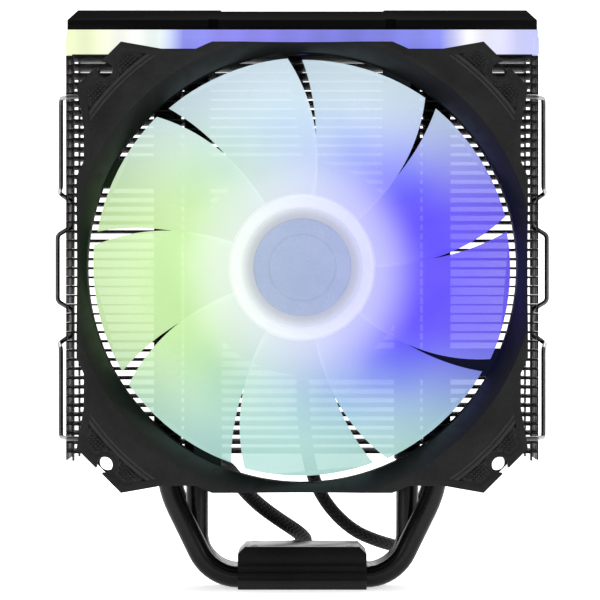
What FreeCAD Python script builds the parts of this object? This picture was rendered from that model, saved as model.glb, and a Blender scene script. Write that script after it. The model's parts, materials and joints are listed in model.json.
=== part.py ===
"""Tower cooler for a processor: four heat pipes, a stack of fins, a light strip and a 120 mm axial fan.

Millimetres. The origin is the centre of the contact face under the cold plate, +Z is up along the tower,
the fan blows from its open face at -Y towards +Y, and +X is to the right of someone looking at the fan.
"""
import FreeCAD, Part
import Sketcher
import math
import os
import re

from FreeCAD import Placement, Rotation, Vector

SIZES = {
    # cold plate and the block that clamps the pipes on it
    "base_width": 35.0, "base_depth": 38.0, "base_height": 11.7, "plate_thickness": 2.7,
    "base_chamfer": 2.0, "rib_width": 0.7, "rib_depth": 0.8, "rib_height_low": 5.1, "rib_height_high": 7.1,
    "bracket_screw_radius": 1.25, "bracket_screw_depth": 4.0,
    "bracket_spacing_across": 26.0, "bracket_spacing_deep": 30.0,
    # heat pipes
    "pipe_radius": 3.0, "pipe_floor": 0.3, "pipe_fit": 0.02, "pipe_tip_radius": 1.6,
    "pipe_tip_length": 2.3, "pipe_above_tray": 2.6,
    "outer_pipe_x": 36.9, "outer_pipe_y": 12.0, "outer_knee_x": 24.8, "outer_shoulder_height": 28.0,
    "outer_knee_radius": 12.0, "outer_shoulder_radius": 30.0,
    "inner_pipe_x": 28.8, "inner_pipe_y": 4.0, "inner_knee_radius": 11.3,
    # fins
    "fin_count": 44, "fin_pitch": 2.5, "fin_thickness": 0.4, "fin_first_height": 37.2,
    "fin_width": 128.4, "fin_end_width": 124.4, "fin_depth": 50.0, "fin_end_depth": 8.0,
    "fin_flange_gap": 0.1, "fin_flange_inset": 0.5, "collar_wall": 0.5,
    "clip_groove_y": 9.0, "clip_groove_width": 3.0, "clip_groove_depth": 2.2,
    # light strip and cover on top of the fins
    "tray_thickness": 1.0, "band_width": 128.4, "band_depth": 50.4, "band_wall": 2.0, "band_base_gap": 0.05,
    "band_height": 6.65, "band_corner_radius": 2.4, "band_ledge": 1.2, "band_ledge_thickness": 0.9,
    "band_step_depth": 0.4, "band_step_height": 2.0, "lid_fit": 0.1,
    "cover_width": 127.0, "cover_depth": 49.2, "cover_height": 5.4, "cover_chamfer": 2.8, "cover_wall": 1.6,
    "cover_lip_height": 2.0, "cover_lip_wall": 1.4, "cover_panel_width": 44.0, "cover_panel_depth": 0.33,
    "cover_notch_x": 24.0, "cover_notch_width": 2.7, "cover_notch_depth": 0.8, "cover_side_height": 2.8,
    "board_length": 112.0, "board_width": 5.0, "board_thickness": 1.0, "board_y": 19.0,
    "light_count": 12, "light_length": 5.0, "light_width": 3.4, "light_height": 1.5, "light_spacing": 9.0,
    "board_screw_x": 54.0, "board_screw_radius": 1.0, "board_screw_head_radius": 1.7,
    "board_screw_head_height": 1.1, "board_screw_fit": 0.03, "screw_cross_length": 2.0,
    "screw_cross_width": 0.4, "screw_cross_depth": 0.5,
    # fan frame
    "fan_side": 120.0, "fan_depth": 25.0, "fan_centre_height": 87.4, "fan_gap": 1.0, "fan_ring_radius": 64.6,
    "front_flange": 4.0, "rear_flange": 3.5, "barrel_radius": 59.8, "bore_radius": 57.7,
    "flare_radius": 62.0, "flare_depth": 7.5, "ear_inner": 37.4, "ear_edge": 58.1, "ear_corner": 48.2,
    "fan_hole_spacing": 105.0, "fan_hole_radius": 2.1, "fan_slot_width": 2.2,
    "motor_base_radius": 29.0, "strut_width": 7.5, "strut_thickness": 3.0, "strut_offset": 25.5,
    "boss_radius": 5.5, "boss_bore": 4.0, "boss_length": 15.0,
    "pad_reach": 57.6, "pad_inner_radius": 68.4, "pad_hole_radius": 3.3,
    "pad_start": 37.6, "pad_start_edge": 56.1, "pad_knee": 47.4, "pad_thickness": 1.2, "pad_proud": 0.1,
    "lug_x": 54.0, "lug_y": -40.0, "lug_width": 5.0, "lug_height": 3.0, "lug_top": 44.0,
    # rotor and motor
    "blade_count": 9, "blade_tip_radius": 55.7, "blade_front": 1.9, "blade_thickness": 1.5,
    "blade_span_root": 43.0, "blade_span_tip": 36.0, "blade_lead": 14.0, "blade_rise_root": 14.2,
    "blade_rise_tip": 11.8, "blade_camber": 2.0, "blade_edge_share": 0.35,
    "hub_radius": 19.6, "hub_front": 1.8, "hub_wall": 1.9, "hub_length": 17.0, "hub_edge_radius": 1.6,
    "hub_ring_radius": 16.4, "hub_dish_depth": 0.5, "hub_cap_radius": 13.0, "hub_cap_thickness": 0.5,
    "iron_wall": 0.8, "iron_length": 13.0, "magnet_wall": 1.8, "magnet_length": 10.0,
    "shaft_radius": 1.5, "bearing_fit": 0.04, "core_radius": 13.6, "core_height": 8.0, "core_rear": 8.2,
    "core_hub_radius": 7.6, "tooth_width": 3.4, "tooth_cap": 1.6, "winding_wall": 1.7,
    "board_radius": 15.4, "motor_light_count": 6, "motor_light_radius": 13.7, "motor_light_length": 2.6,
    "motor_light_width": 1.8, "motor_light_height": 0.9, "label_radius": 20.0, "label_thickness": 0.2,
    "washer_thickness": 0.4,
    # wire clips
    "wire_radius": 0.6, "wire_fit": 0.05, "wire_bend": 1.6, "clip_arm_height": 45.9, "clip_pin_length": 5.5,
    "clip_elbow_clear": 3.0, "clip_elbow_y": -33.0, "clip_side_clear": 1.2, "clip_side_y": -20.5,
    "clip_knee_clear": 2.2, "clip_knee_height": 22.0, "clip_knee_drop": 1.5, "clip_seat_height": 18.0,
    "clip_loop_rise": 2.5, "clip_loop_half": 9.0, "clip_loop_clear": 2.6, "clip_seat_gap": 0.1,
    # cables
    "fan_cable_diameter": 4.0, "light_cable_diameter": 3.6, "tie_thickness": 0.5, "tie_width": 6.0,
    "coil_half_width": 14.0, "coil_straight": 34.0, "coil_near_y": 60.0, "tie_y": 80.0, "tie_fit": 0.1,
    "coil_turn_gap": 0.4,
    "fan_plug_width": 10.4, "fan_plug_height": 6.0, "fan_plug_length": 11.5,
    "light_plug_width": 10.4, "light_plug_height": 3.2, "light_plug_length": 13.0, "plug_room": 0.6,
    "fan_plug_y": 61.0, "light_plug_y": 87.0, "fan_plug_lift": 2.6, "light_plug_lift": 0.7,
    "gland_radius": 2.8, "gland_length": 4.0, "grommet_width": 5.2, "grommet_x": -1.8, "grommet_reach": 6.2,
    "grommet_fit": 0.1, "spout_wall": 0.3, "spout_length": 0.5, "strut_root": 0.6, "slot_reach": 4.2,
}

# The cables lie loose, so their lines are points chosen along the way they hang, from exit to coil.
FAN_CABLE_ROUTE = [
    (-24.4, -22.0, 34.0), (-23.7, -16.6, 34.2), (-21.2, -11.0, 33.5), (-18.8, -5.0, 31.0),
    (-16.4, 1.2, 26.9), (-12.2, 8.2, 22.3), (-6.4, 15.2, 17.8), (-0.8, 22.2, 13.9), (1.4, 29.6, 11.2),
    (-1.6, 36.6, 9.3), (-7.4, 42.2, 7.8), (-12.2, 48.0, 6.7), (-14.0, 55.0, 6.2), (-14.0, 61.5, 6.1),
]
LIGHT_CABLE_ROUTE = [
    (-1.8, 28.6, 144.6), (-1.7, 29.0, 139.6), (-0.4, 30.2, 132.6), (1.8, 30.6, 122.0), (2.6, 29.9, 107.0),
    (1.6, 30.1, 89.0), (0.4, 29.8, 71.0), (0.1, 29.5, 54.0), (0.8, 29.7, 39.5), (3.0, 29.9, 28.6),
    (7.4, 30.3, 20.6), (14.2, 31.0, 14.1), (21.4, 32.8, 11.0), (26.6, 37.4, 9.5), (28.0, 43.6, 7.0),
    (26.4, 49.4, 4.4), (21.8, 54.0, 2.9), (16.6, 58.6, 2.4), (14.1, 64.6, 2.3), (14.0, 70.6, 2.3),
]

doc = FreeCAD.newDocument("tower_cooler")
sheet = doc.addObject("Spreadsheet::Sheet", "Sizes")
for row, (alias, number) in enumerate(SIZES.items(), start=1):
    sheet.set(f"A{row}", alias)
    sheet.set(f"B{row}", str(number))
    sheet.setAlias(f"B{row}", alias)
doc.recompute()

WORD = re.compile(r"[a-z_]+[a-z]")
NODES = {}


def size(formula):
    """The number a formula of sheet aliases comes to."""
    return float(sheet.evalExpression(str(formula)))


def count(alias):
    """A driving number of pieces, read from the sheet."""
    return int(round(size(alias)))


def bind(thing, prop, formula):
    """Tie a property to a formula of sheet aliases."""
    text = WORD.sub(lambda word: "Sizes." + word.group() if word.group() in SIZES else word.group(),
                    str(formula))
    thing.setExpression(prop, text)


def place(thing, x=0, y=0, z=0, axis=None, angle=0):
    """Turn a primitive and tie its corner or centre to formulas."""
    if axis:
        thing.Placement = Placement(Vector(), Rotation(Vector(*axis), angle))
    for name, formula in (("x", x), ("y", y), ("z", z)):
        bind(thing, f"Placement.Base.{name}", formula)
    return thing


UPRIGHT = (None, 0)
ALONG_Y = ((1, 0, 0), -90)


def box(name, length, width, height, x=0, y=0, z=0, axis=None, angle=0):
    """A box whose low corner sits at x, y, z."""
    thing = doc.addObject("Part::Box", name)
    for prop, formula in (("Length", length), ("Width", width), ("Height", height)):
        bind(thing, prop, formula)
    return place(thing, x, y, z, axis, angle)


def block(name, length, width, height, x=0, y=0, z=0):
    """A box centred on x and y, standing on z."""
    return box(name, length, width, height, f"{x} - ({length}) / 2", f"{y} - ({width}) / 2", z)


def cylinder(name, radius, height, x=0, y=0, z=0, turn=ALONG_Y):
    """A cylinder that starts at x, y, z and runs along +Y, or upright."""
    thing = doc.addObject("Part::Cylinder", name)
    bind(thing, "Radius", radius)
    bind(thing, "Height", height)
    return place(thing, x, y, z, *turn)


def cone(name, first, second, height, x=0, y=0, z=0, turn=ALONG_Y):
    """A cone from one radius to another."""
    thing = doc.addObject("Part::Cone", name)
    bind(thing, "Radius1", first)
    bind(thing, "Radius2", second)
    bind(thing, "Height", height)
    return place(thing, x, y, z, *turn)


def fuse(name, *shapes):
    """Join shapes into one."""
    thing = doc.addObject("Part::MultiFuse", name)
    thing.Shapes = list(shapes)
    thing.Refine = True
    return thing


def common(name, *shapes):
    """Keep what shapes share."""
    thing = doc.addObject("Part::MultiCommon", name)
    thing.Shapes = list(shapes)
    return thing


def cut(name, base, *tools):
    """Take tools away from base."""
    thing = doc.addObject("Part::Cut", name)
    thing.Base = base
    thing.Tool = tools[0] if len(tools) == 1 else fuse(name + "_tools", *tools)
    return thing


def fixed(name, shape):
    """A feature whose shape is made with Part's own functions."""
    thing = doc.addObject("Part::Feature", name)
    thing.Shape = shape
    return thing


def node(name, thing):
    """Name a finished sub-part; the name is also its file's."""
    thing.Label = name
    NODES[name] = thing
    return thing


def origin_item(body, role):
    """One of a body's own origin planes or axes."""
    return next(each for each in body.Origin.OriginFeatures if each.Role == role)


def sketch_on(body, name, role, offset=0):
    """A sketch flat on one of the body's planes, lifted by a formula along its normal."""
    sketch = body.newObject("Sketcher::SketchObject", name)
    sketch.AttachmentSupport = [(origin_item(body, role), "")]
    sketch.MapMode = "FlatFace"
    bind(sketch, "AttachmentOffset.Base.z", offset)
    return sketch


def outline(sketch, corners):
    """A closed outline whose every corner is tied to two formulas."""
    first = sketch.GeometryCount
    spots = [Vector(size(across), size(up), 0) for across, up in corners]
    for at, spot in enumerate(spots):
        sketch.addGeometry(Part.LineSegment(spot, spots[(at + 1) % len(spots)]))
    for at, corner in enumerate(corners):
        line = first + at
        sketch.addConstraint(Sketcher.Constraint("Coincident", line, 2, first + (at + 1) % len(corners), 1))
    for at, corner in enumerate(corners):
        for kind, formula in zip(("DistanceX", "DistanceY"), corner):
            index = sketch.addConstraint(Sketcher.Constraint(kind, first + at, 1, size(formula)))
            bind(sketch, f"Constraints[{index}]", formula)


def circle(sketch, radius, across, up):
    """A circle whose centre and radius are tied to formulas."""
    index = sketch.addGeometry(Part.Circle(Vector(size(across), size(up), 0), Vector(0, 0, 1), size(radius)))
    for kind, formula in (("DistanceX", across), ("DistanceY", up)):
        at = sketch.addConstraint(Sketcher.Constraint(kind, index, 3, size(formula)))
        bind(sketch, f"Constraints[{at}]", formula)
    at = sketch.addConstraint(Sketcher.Constraint("Radius", index, size(radius)))
    bind(sketch, f"Constraints[{at}]", radius)


def extrude(body, sketch, name, length, kind="PartDesign::Pad", towards_back=False):
    """A pad or pocket of a sketch."""
    thing = body.newObject(kind, name)
    thing.Profile = sketch
    thing.Reversed = towards_back
    bind(thing, "Length", length)
    return thing


def slab(name, role, corners, offset, length, holes=(), towards_back=False):
    """A body that is one padded outline with round holes."""
    body = doc.addObject("PartDesign::Body", name)
    sketch = sketch_on(body, name + "_outline", role, offset)
    outline(sketch, corners)
    for hole in holes:
        circle(sketch, *hole)
    extrude(body, sketch, name + "_pad", length, towards_back=towards_back)
    return body


def rounded_path(points, radii):
    """Straight runs joined by tangent arcs, and the tangent lengths the arcs take."""
    edges = []
    here = points[0]
    for at in range(1, len(points) - 1):
        corner = points[at]
        back = (points[at - 1] - corner).normalize()
        onward = (points[at + 1] - corner).normalize()
        half = (math.pi - back.getAngle(onward)) / 2
        tangent = radii[at - 1] * math.tan(half)
        start = corner + back * tangent
        end = corner + onward * tangent
        middle = corner + (back + onward).normalize() * (radii[at - 1] / math.cos(half) - radii[at - 1])
        edges.append(Part.LineSegment(here, start).toShape())
        edges.append(Part.Arc(start, middle, end).toShape())
        here = end
    edges.append(Part.LineSegment(here, points[-1]).toShape())
    return Part.Wire(edges)


def swept(path, radius):
    """A round rod along a path."""
    start = path.Edges[0]
    ring = Part.makeCircle(radius, start.valueAt(start.FirstParameter), start.tangentAt(start.FirstParameter))
    return path.makePipeShell([Part.Wire([ring])], True, True)


# Heat pipes: each is one planar U whose middle lies in the base and whose legs carry the fins.
PIPE_AXIS = "(pipe_radius + pipe_floor)"
TRAY_BASE = "(fin_first_height + (fin_count - 1) * fin_pitch + fin_thickness)"
TRAY_TOP = f"({TRAY_BASE} + tray_thickness)"
PIPE_SHOULDER = f"({TRAY_TOP} + pipe_above_tray - pipe_tip_length)"


def pipe_legs(shape):
    """Where a pipe's line turns on one side, from its top down to the base."""
    shoulder = (size(f"{shape}_pipe_x"), size(PIPE_SHOULDER))
    low = size(PIPE_AXIS)
    if shape == "inner":
        return [shoulder, (size("inner_pipe_x"), low)], [size("inner_knee_radius")]
    bends = [size("outer_shoulder_radius"), size("outer_knee_radius")]
    return [shoulder, (size("outer_pipe_x"), size("outer_shoulder_height")), (size("outer_knee_x"), low)], bends


def heat_pipe(name, shape, y):
    """A pipe with its two drawn-down tips."""
    leg, bends = pipe_legs(shape)
    line = [Vector(-x, y, z) for x, z in leg] + [Vector(x, y, z) for x, z in reversed(leg)]
    rod = swept(rounded_path(line, bends + bends[::-1]), size("pipe_radius"))
    tips = [Part.makeCone(size("pipe_radius"), size("pipe_tip_radius"), size("pipe_tip_length"),
                          Vector(side * leg[0][0], y, leg[0][1])) for side in (-1, 1)]
    return node(name, fixed(name, rod.fuse(tips).removeSplitter()))


PIPES = {
    "heat_pipe_front_outer": ("outer", "-outer_pipe_y"), "heat_pipe_front_inner": ("inner", "-inner_pipe_y"),
    "heat_pipe_rear_inner": ("inner", "inner_pipe_y"), "heat_pipe_rear_outer": ("outer", "outer_pipe_y"),
}
for name, (shape, y) in PIPES.items():
    heat_pipe(name, shape, size(y))

# Cold plate and base block, clamped on the pipes from below and above.
HALF_BASE = "base_width / 2"
grooves = [cylinder(f"pipe_groove_{at}", "pipe_radius + pipe_fit", "base_width + 2",
                    f"-{HALF_BASE} - 1", y, PIPE_AXIS, ((0, 1, 0), 90))
           for at, (shape, y) in enumerate(PIPES.values())]
slots = [block(f"pipe_slot_{at}", "base_width + 2", "2 * (pipe_radius + pipe_fit)",
               f"{PIPE_AXIS} - plate_thickness + 1", 0, y, "plate_thickness - 1")
         for at, (shape, y) in enumerate(PIPES.values())]
plate = block("plate_blank", "base_width", "base_depth", "plate_thickness")
node("cold_plate", cut("cold_plate", plate, *grooves))
upper = slab("block_blank", "XZ_Plane", [
    (f"-{HALF_BASE}", "plate_thickness"), (HALF_BASE, "plate_thickness"),
    (HALF_BASE, "base_height - base_chamfer"), (f"{HALF_BASE} - base_chamfer", "base_height"),
    (f"base_chamfer - {HALF_BASE}", "base_height"), (f"-{HALF_BASE}", "base_height - base_chamfer"),
], "-base_depth / 2", "base_depth")
ribs = [block(f"rib_{side}_{height}", "base_width + 2", "2 * rib_depth", "rib_width", 0,
              f"{sign} * base_depth / 2", f"{height} - rib_width / 2")
        for side, sign in (("front", -1), ("rear", 1)) for height in ("rib_height_low", "rib_height_high")]
bracket_holes = [cylinder(f"bracket_hole_{across}_{deep}", "bracket_screw_radius", "bracket_screw_depth + 1",
                          f"{across} * bracket_spacing_across / 2", f"{deep} * bracket_spacing_deep / 2",
                          "base_height - bracket_screw_depth", UPRIGHT)
                 for across in (-1, 1) for deep in (-1, 1)]
node("base_block", cut("base_block", upper, *grooves, *slots, *ribs, *bracket_holes))

# Fins: one is drawn, then repeated up the tower. Its edges fold down and so do its pipe collars.
HALF_FIN = "fin_depth / 2"
END_Y = f"({HALF_FIN} - fin_end_depth)"
right = [
    ("fin_end_width / 2", f"-{HALF_FIN}"), ("fin_end_width / 2", f"-{END_Y}"), ("fin_width / 2", f"-{END_Y}"),
    ("fin_width / 2", "-clip_groove_y - clip_groove_width / 2"),
    ("fin_width / 2 - clip_groove_depth", "-clip_groove_y - clip_groove_width / 2"),
    ("fin_width / 2 - clip_groove_depth", "-clip_groove_y + clip_groove_width / 2"),
    ("fin_width / 2", "-clip_groove_y + clip_groove_width / 2"),
]
right += [(x, f"-({y})") for x, y in reversed(right)]
pipe_spots = [(f"{side} * {shape}_pipe_x", y) for shape, y in PIPES.values() for side in (-1, 1)]
fin = slab("fin", "XY_Plane", right + [(f"-({x})", y) for x, y in reversed(right)], "fin_first_height",
           "fin_thickness", [("pipe_radius + pipe_fit", x, y) for x, y in pipe_spots])
collars = sketch_on(fin, "collar_rings", "XY_Plane", "fin_first_height")
for x, y in pipe_spots:
    circle(collars, "pipe_radius + pipe_fit", x, y)
    circle(collars, "pipe_radius + pipe_fit + collar_wall", x, y)
FOLD = "fin_pitch - fin_thickness - fin_flange_gap"
collar_pad = extrude(fin, collars, "collar_pad", FOLD, towards_back=True)
folds = sketch_on(fin, "fold_strips", "XY_Plane", "fin_first_height")
GROOVE_NEAR = "clip_groove_y + clip_groove_width / 2 + fin_flange_inset"
GROOVE_FAR = "clip_groove_y - clip_groove_width / 2 - fin_flange_inset"
STRIPS = [
    ("fin_end_width / 2", f"-{HALF_FIN} + fin_flange_inset", f"-{END_Y} - fin_flange_inset"),
    ("fin_width / 2", f"-{END_Y} + fin_flange_inset", f"-({GROOVE_NEAR})"),
    ("fin_width / 2", f"-({GROOVE_FAR})", GROOVE_FAR),
    ("fin_width / 2", GROOVE_NEAR, f"{END_Y} - fin_flange_inset"),
    ("fin_end_width / 2", f"{END_Y} + fin_flange_inset", f"{HALF_FIN} - fin_flange_inset"),
]
for x, near, far in STRIPS:
    for side in (-1, 1):
        edge, inside = f"{side} * ({x})", f"{side} * ({x} - fin_thickness)"
        outline(folds, [(edge, near), (inside, near), (inside, far), (edge, far)])
fold_pad = extrude(fin, folds, "fold_pad", FOLD, towards_back=True)
stack = fin.newObject("PartDesign::LinearPattern", "fin_rows")
stack.Originals = [fin.getObject("fin_pad"), collar_pad, fold_pad]
stack.Direction = (origin_item(fin, "Z_Axis"), [""])
bind(stack, "Length", "fin_pitch * (fin_count - 1)")
bind(stack, "Occurrences", "fin_count")
fin.Tip = stack
node("fin_stack", fin)

# Light strip: a tray pressed on the pipe tips, two boards of lights, a frosted band and a cover.
BAND_BASE = f"({TRAY_BASE} + band_base_gap)"
BAND_TOP = f"({BAND_BASE} + band_height)"
INNER_WIDTH, INNER_DEPTH = "(band_width - 2 * band_wall)", "(band_depth - 2 * band_wall)"
tray = block("tray_blank", f"{INNER_WIDTH} - 2 * lid_fit", f"{INNER_DEPTH} - 2 * lid_fit", "tray_thickness",
             z=TRAY_BASE)
tray_holes = [cylinder(f"tray_hole_{at}", "pipe_radius + pipe_fit", "tray_thickness + 2", x, y,
                       f"{TRAY_BASE} - 1", UPRIGHT) for at, (x, y) in enumerate(pipe_spots)]
screw_spots = [(f"{side} * board_screw_x", f"{row} * board_y") for side in (-1, 1) for row in (-1, 1)]
screw_holes = [cylinder(f"board_screw_hole_{at}", "board_screw_radius + board_screw_fit",
                        "tray_thickness + board_thickness + 2", x, y, f"{TRAY_BASE} - 1", UPRIGHT)
               for at, (x, y) in enumerate(screw_spots)]
GROMMET_START = "(board_y + board_width / 2 + grommet_fit)"
GROMMET_LENGTH = f"(band_depth / 2 + grommet_reach - {GROMMET_START})"
GROMMET_HEIGHT = "(tray_thickness + band_ledge_thickness + band_wall)"
cable_gap = box("cable_gap", "grommet_width + 2 * grommet_fit", f"{GROMMET_LENGTH} + grommet_fit",
                f"{GROMMET_HEIGHT} + grommet_fit + 1", "grommet_x - grommet_width / 2 - grommet_fit",
                f"{GROMMET_START} - grommet_fit", f"{TRAY_BASE} - 1")
node("light_tray", cut("light_tray", tray, *tray_holes, *screw_holes, cable_gap))
boot = box("grommet_boot", "grommet_width", GROMMET_LENGTH, GROMMET_HEIGHT, "grommet_x - grommet_width / 2",
           GROMMET_START, TRAY_BASE)
spout = cone("grommet_spout", "light_cable_diameter / 2 + spout_wall", "grommet_width / 2", "spout_length",
             "grommet_x", LIGHT_CABLE_ROUTE[0][1], f"{TRAY_BASE} - spout_length", UPRIGHT)
node("light_cable_grommet", fuse("light_cable_grommet", boot, spout))

screws = []
for at, (x, y) in enumerate(screw_spots):
    shank = cylinder(f"screw_shank_{at}", "board_screw_radius", "tray_thickness + board_thickness", x, y,
                     TRAY_BASE, UPRIGHT)
    head = cylinder(f"screw_head_{at}", "board_screw_head_radius", "board_screw_head_height", x, y,
                    f"{TRAY_TOP} + board_thickness", UPRIGHT)
    recess = f"{TRAY_TOP} + board_thickness + board_screw_head_height - screw_cross_depth"
    crosses = [block(f"screw_cross_{at}_{across}_{deep}", across, deep, "screw_cross_depth + 1", x, y, recess)
               for across, deep in (("screw_cross_length", "screw_cross_width"),
                                    ("screw_cross_width", "screw_cross_length"))]
    screws.append(cut(f"screw_{at}", fuse(f"screw_body_{at}", shank, head), *crosses))


def bundle(name, parts):
    """Separate solids that share one node."""
    thing = doc.addObject("Part::Compound", name)
    thing.Links = parts
    return node(name, thing)


bundle("board_screws", screws)
for row, sign in (("front", -1), ("rear", 1)):
    board = block(f"{row}_board_blank", "board_length", "board_width", "board_thickness", 0,
                  f"{sign} * board_y", TRAY_TOP)
    node(f"light_board_{row}", cut(f"light_board_{row}", board, *screw_holes))
    bundle(f"lights_{row}", [
        block(f"light_{row}_{at}", "light_length", "light_width", "light_height",
              f"({at} - (light_count - 1) / 2) * light_spacing", f"{sign} * board_y",
              f"{TRAY_TOP} + board_thickness") for at in range(count("light_count"))])

band_blank = block("band_blank", "band_width", "band_depth", "band_height", z=BAND_BASE)
rounded = doc.addObject("Part::Fillet", "band_rounded")
rounded.Base = band_blank
doc.recompute()
upright = [at for at, edge in enumerate(band_blank.Shape.Edges, start=1)
           if abs(edge.BoundBox.ZLength - size("band_height")) < 1e-6]
rounded.Edges = [(at, size("band_corner_radius"), size("band_corner_radius")) for at in upright]
hollow = block("band_hollow", INNER_WIDTH, INNER_DEPTH, "band_height + 2", z=f"{BAND_BASE} - 1")
ledge = block("band_ledge_blank", INNER_WIDTH, INNER_DEPTH, "band_ledge_thickness", z=TRAY_TOP)
ledge_hole = block("band_ledge_hole", f"{INNER_WIDTH} - 2 * band_ledge", f"{INNER_DEPTH} - 2 * band_ledge",
                   "band_ledge_thickness + 2", z=f"{TRAY_TOP} - 1")
shell = fuse("band_shell", cut("band_walls", rounded, hollow), cut("band_ledge_ring", ledge, ledge_hole))
step_outer = block("band_step_outer", "band_width + 2", "band_depth + 2", "band_step_height", 0, 0,
                   f"{BAND_TOP} - band_step_height")
step_inner = block("band_step_inner", "band_width - 2 * band_step_depth", "band_depth - 2 * band_step_depth",
                   "band_step_height + 2", 0, 0, f"{BAND_TOP} - band_step_height - 1")
node("light_band", cut("light_band", shell, cut("band_step", step_outer, step_inner), cable_gap))

HALF_COVER = "cover_width / 2"
COVER_TOP = f"({BAND_TOP} + cover_height)"
cover_profile = [
    (f"-{HALF_COVER}", BAND_TOP), (HALF_COVER, BAND_TOP), (HALF_COVER, f"{COVER_TOP} - cover_chamfer"),
    (f"{HALF_COVER} - cover_chamfer", COVER_TOP), (f"cover_chamfer - {HALF_COVER}", COVER_TOP),
    (f"-{HALF_COVER}", f"{COVER_TOP} - cover_chamfer"),
]
HALF_DEEP = "cover_depth / 2"
side_profile = [(across.replace("cover_width", "cover_depth"), up) for across, up in cover_profile]
long_blank = slab("cover_long", "XZ_Plane", cover_profile, f"-{HALF_DEEP}", "cover_depth")
cross_blank = slab("cover_cross", "YZ_Plane", side_profile, f"-{HALF_COVER}", "cover_width")
cover_hollow = block("cover_hollow", "cover_width - 2 * cover_chamfer - 2 * cover_wall",
                     "cover_depth - 2 * cover_chamfer - 2 * cover_wall", "cover_height - cover_wall + 1", 0, 0,
                     f"{BAND_TOP} - 1")
lip = block("cover_lip_blank", f"{INNER_WIDTH} - 2 * lid_fit", f"{INNER_DEPTH} - 2 * lid_fit",
            "cover_lip_height", 0, 0, f"{BAND_TOP} - cover_lip_height")
lip_hole = block("cover_lip_hole", f"{INNER_WIDTH} - 2 * (lid_fit + cover_lip_wall)",
                 f"{INNER_DEPTH} - 2 * (lid_fit + cover_lip_wall)", "cover_lip_height + 2", 0, 0,
                 f"{BAND_TOP} - cover_lip_height - 1")
panel = block("cover_panel", "cover_panel_width", "cover_depth + 2", "cover_panel_depth + 1", 0, 0,
              f"{COVER_TOP} - cover_panel_depth")
notches = [block(f"cover_notch_{side}_{row}", "cover_notch_width", "2 * cover_notch_depth",
                 "cover_side_height + 1", f"{side} * cover_notch_x", f"{row} * {HALF_DEEP}", f"{BAND_TOP} - 1")
           for side in (-1, 1) for row in (-1, 1)]
lid = cut("cover_lid", common("cover_blank", long_blank, cross_blank), cover_hollow, panel, *notches)
node("top_cover", fuse("top_cover", lid, cut("cover_lip", lip, lip_hole)))

# Fan frame: two flanges on a barrel, four tangential struts, a motor base and the clips' lugs.
FAN_REAR = f"(-{HALF_FIN} - fan_gap)"
FAN_FRONT = f"({FAN_REAR} - fan_depth)"
FAN_Z = "fan_centre_height"
SIDE = "fan_side / 2"
ears = [(SIDE, "ear_corner"), ("ear_corner", SIDE), ("ear_inner", "ear_edge"), ("-ear_inner", "ear_edge"),
        ("-ear_corner", SIDE), (f"-{SIDE}", "ear_corner"), ("-ear_edge", "ear_inner"),
        ("-ear_edge", "-ear_inner"), (f"-{SIDE}", "-ear_corner"), ("-ear_corner", f"-{SIDE}"),
        ("-ear_inner", "-ear_edge"), ("ear_inner", "-ear_edge"), ("ear_corner", f"-{SIDE}"),
        (SIDE, "-ear_corner"), ("ear_edge", "-ear_inner"), ("ear_edge", "ear_inner")]
ears = [(x, f"{FAN_Z} + {z}") for x, z in ears]


def flange(name, front, thickness):
    """Four corner ears round a disc that the sides cut flat."""
    plate = slab(name + "_ears", "XZ_Plane", ears, f"-({front})", thickness, towards_back=True)
    disc = cylinder(name + "_disc", "fan_ring_radius", thickness, 0, front, FAN_Z)
    square = box(name + "_square", "fan_side", thickness, "fan_side", f"-{SIDE}", front, f"{FAN_Z} - {SIDE}")
    return fuse(name, plate, common(name + "_ring", disc, square))


front_plate = flange("front_flange_plate", FAN_FRONT, "front_flange")
rear_plate = flange("rear_flange_plate", f"{FAN_REAR} - rear_flange", "rear_flange")
barrel = cylinder("barrel", "barrel_radius", "fan_depth", 0, FAN_FRONT, FAN_Z)
bore = cylinder("bore", "bore_radius", "fan_depth + 2", 0, f"{FAN_FRONT} - 1", FAN_Z)
flare = cone("flare", "flare_radius", "bore_radius", "flare_depth", 0, FAN_FRONT, FAN_Z)
CORNERS = [(across, up) for up in (-1, 1) for across in (-1, 1)]
HOLE = "fan_hole_spacing / 2"
fan_holes = [cylinder(f"fan_hole_{at}", "fan_hole_radius", "fan_depth + 2", f"{across} * {HOLE}",
                      f"{FAN_FRONT} - 1", f"{FAN_Z} + {up} * {HOLE}")
             for at, (across, up) in enumerate(CORNERS)]
hole_slots = []
for at, (across, up) in enumerate(CORNERS):
    half = "fan_slot_width / 2 * sqrt(0.5)"
    reach = "slot_reach"
    mouth = [(f"{HOLE} - {half}", f"{HOLE} + {half}"), (f"{HOLE} + {half}", f"{HOLE} - {half}"),
             (f"{HOLE} + {half} + {reach}", f"{HOLE} - {half} + {reach}"),
             (f"{HOLE} - {half} + {reach}", f"{HOLE} + {half} + {reach}")]
    hole_slots.append(slab(f"hole_slot_{at}", "XZ_Plane",
                           [(f"{across} * ({x})", f"{FAN_Z} + {up} * ({z})") for x, z in mouth],
                           f"-({FAN_FRONT}) + 1", "front_flange + 2", towards_back=True))


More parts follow.
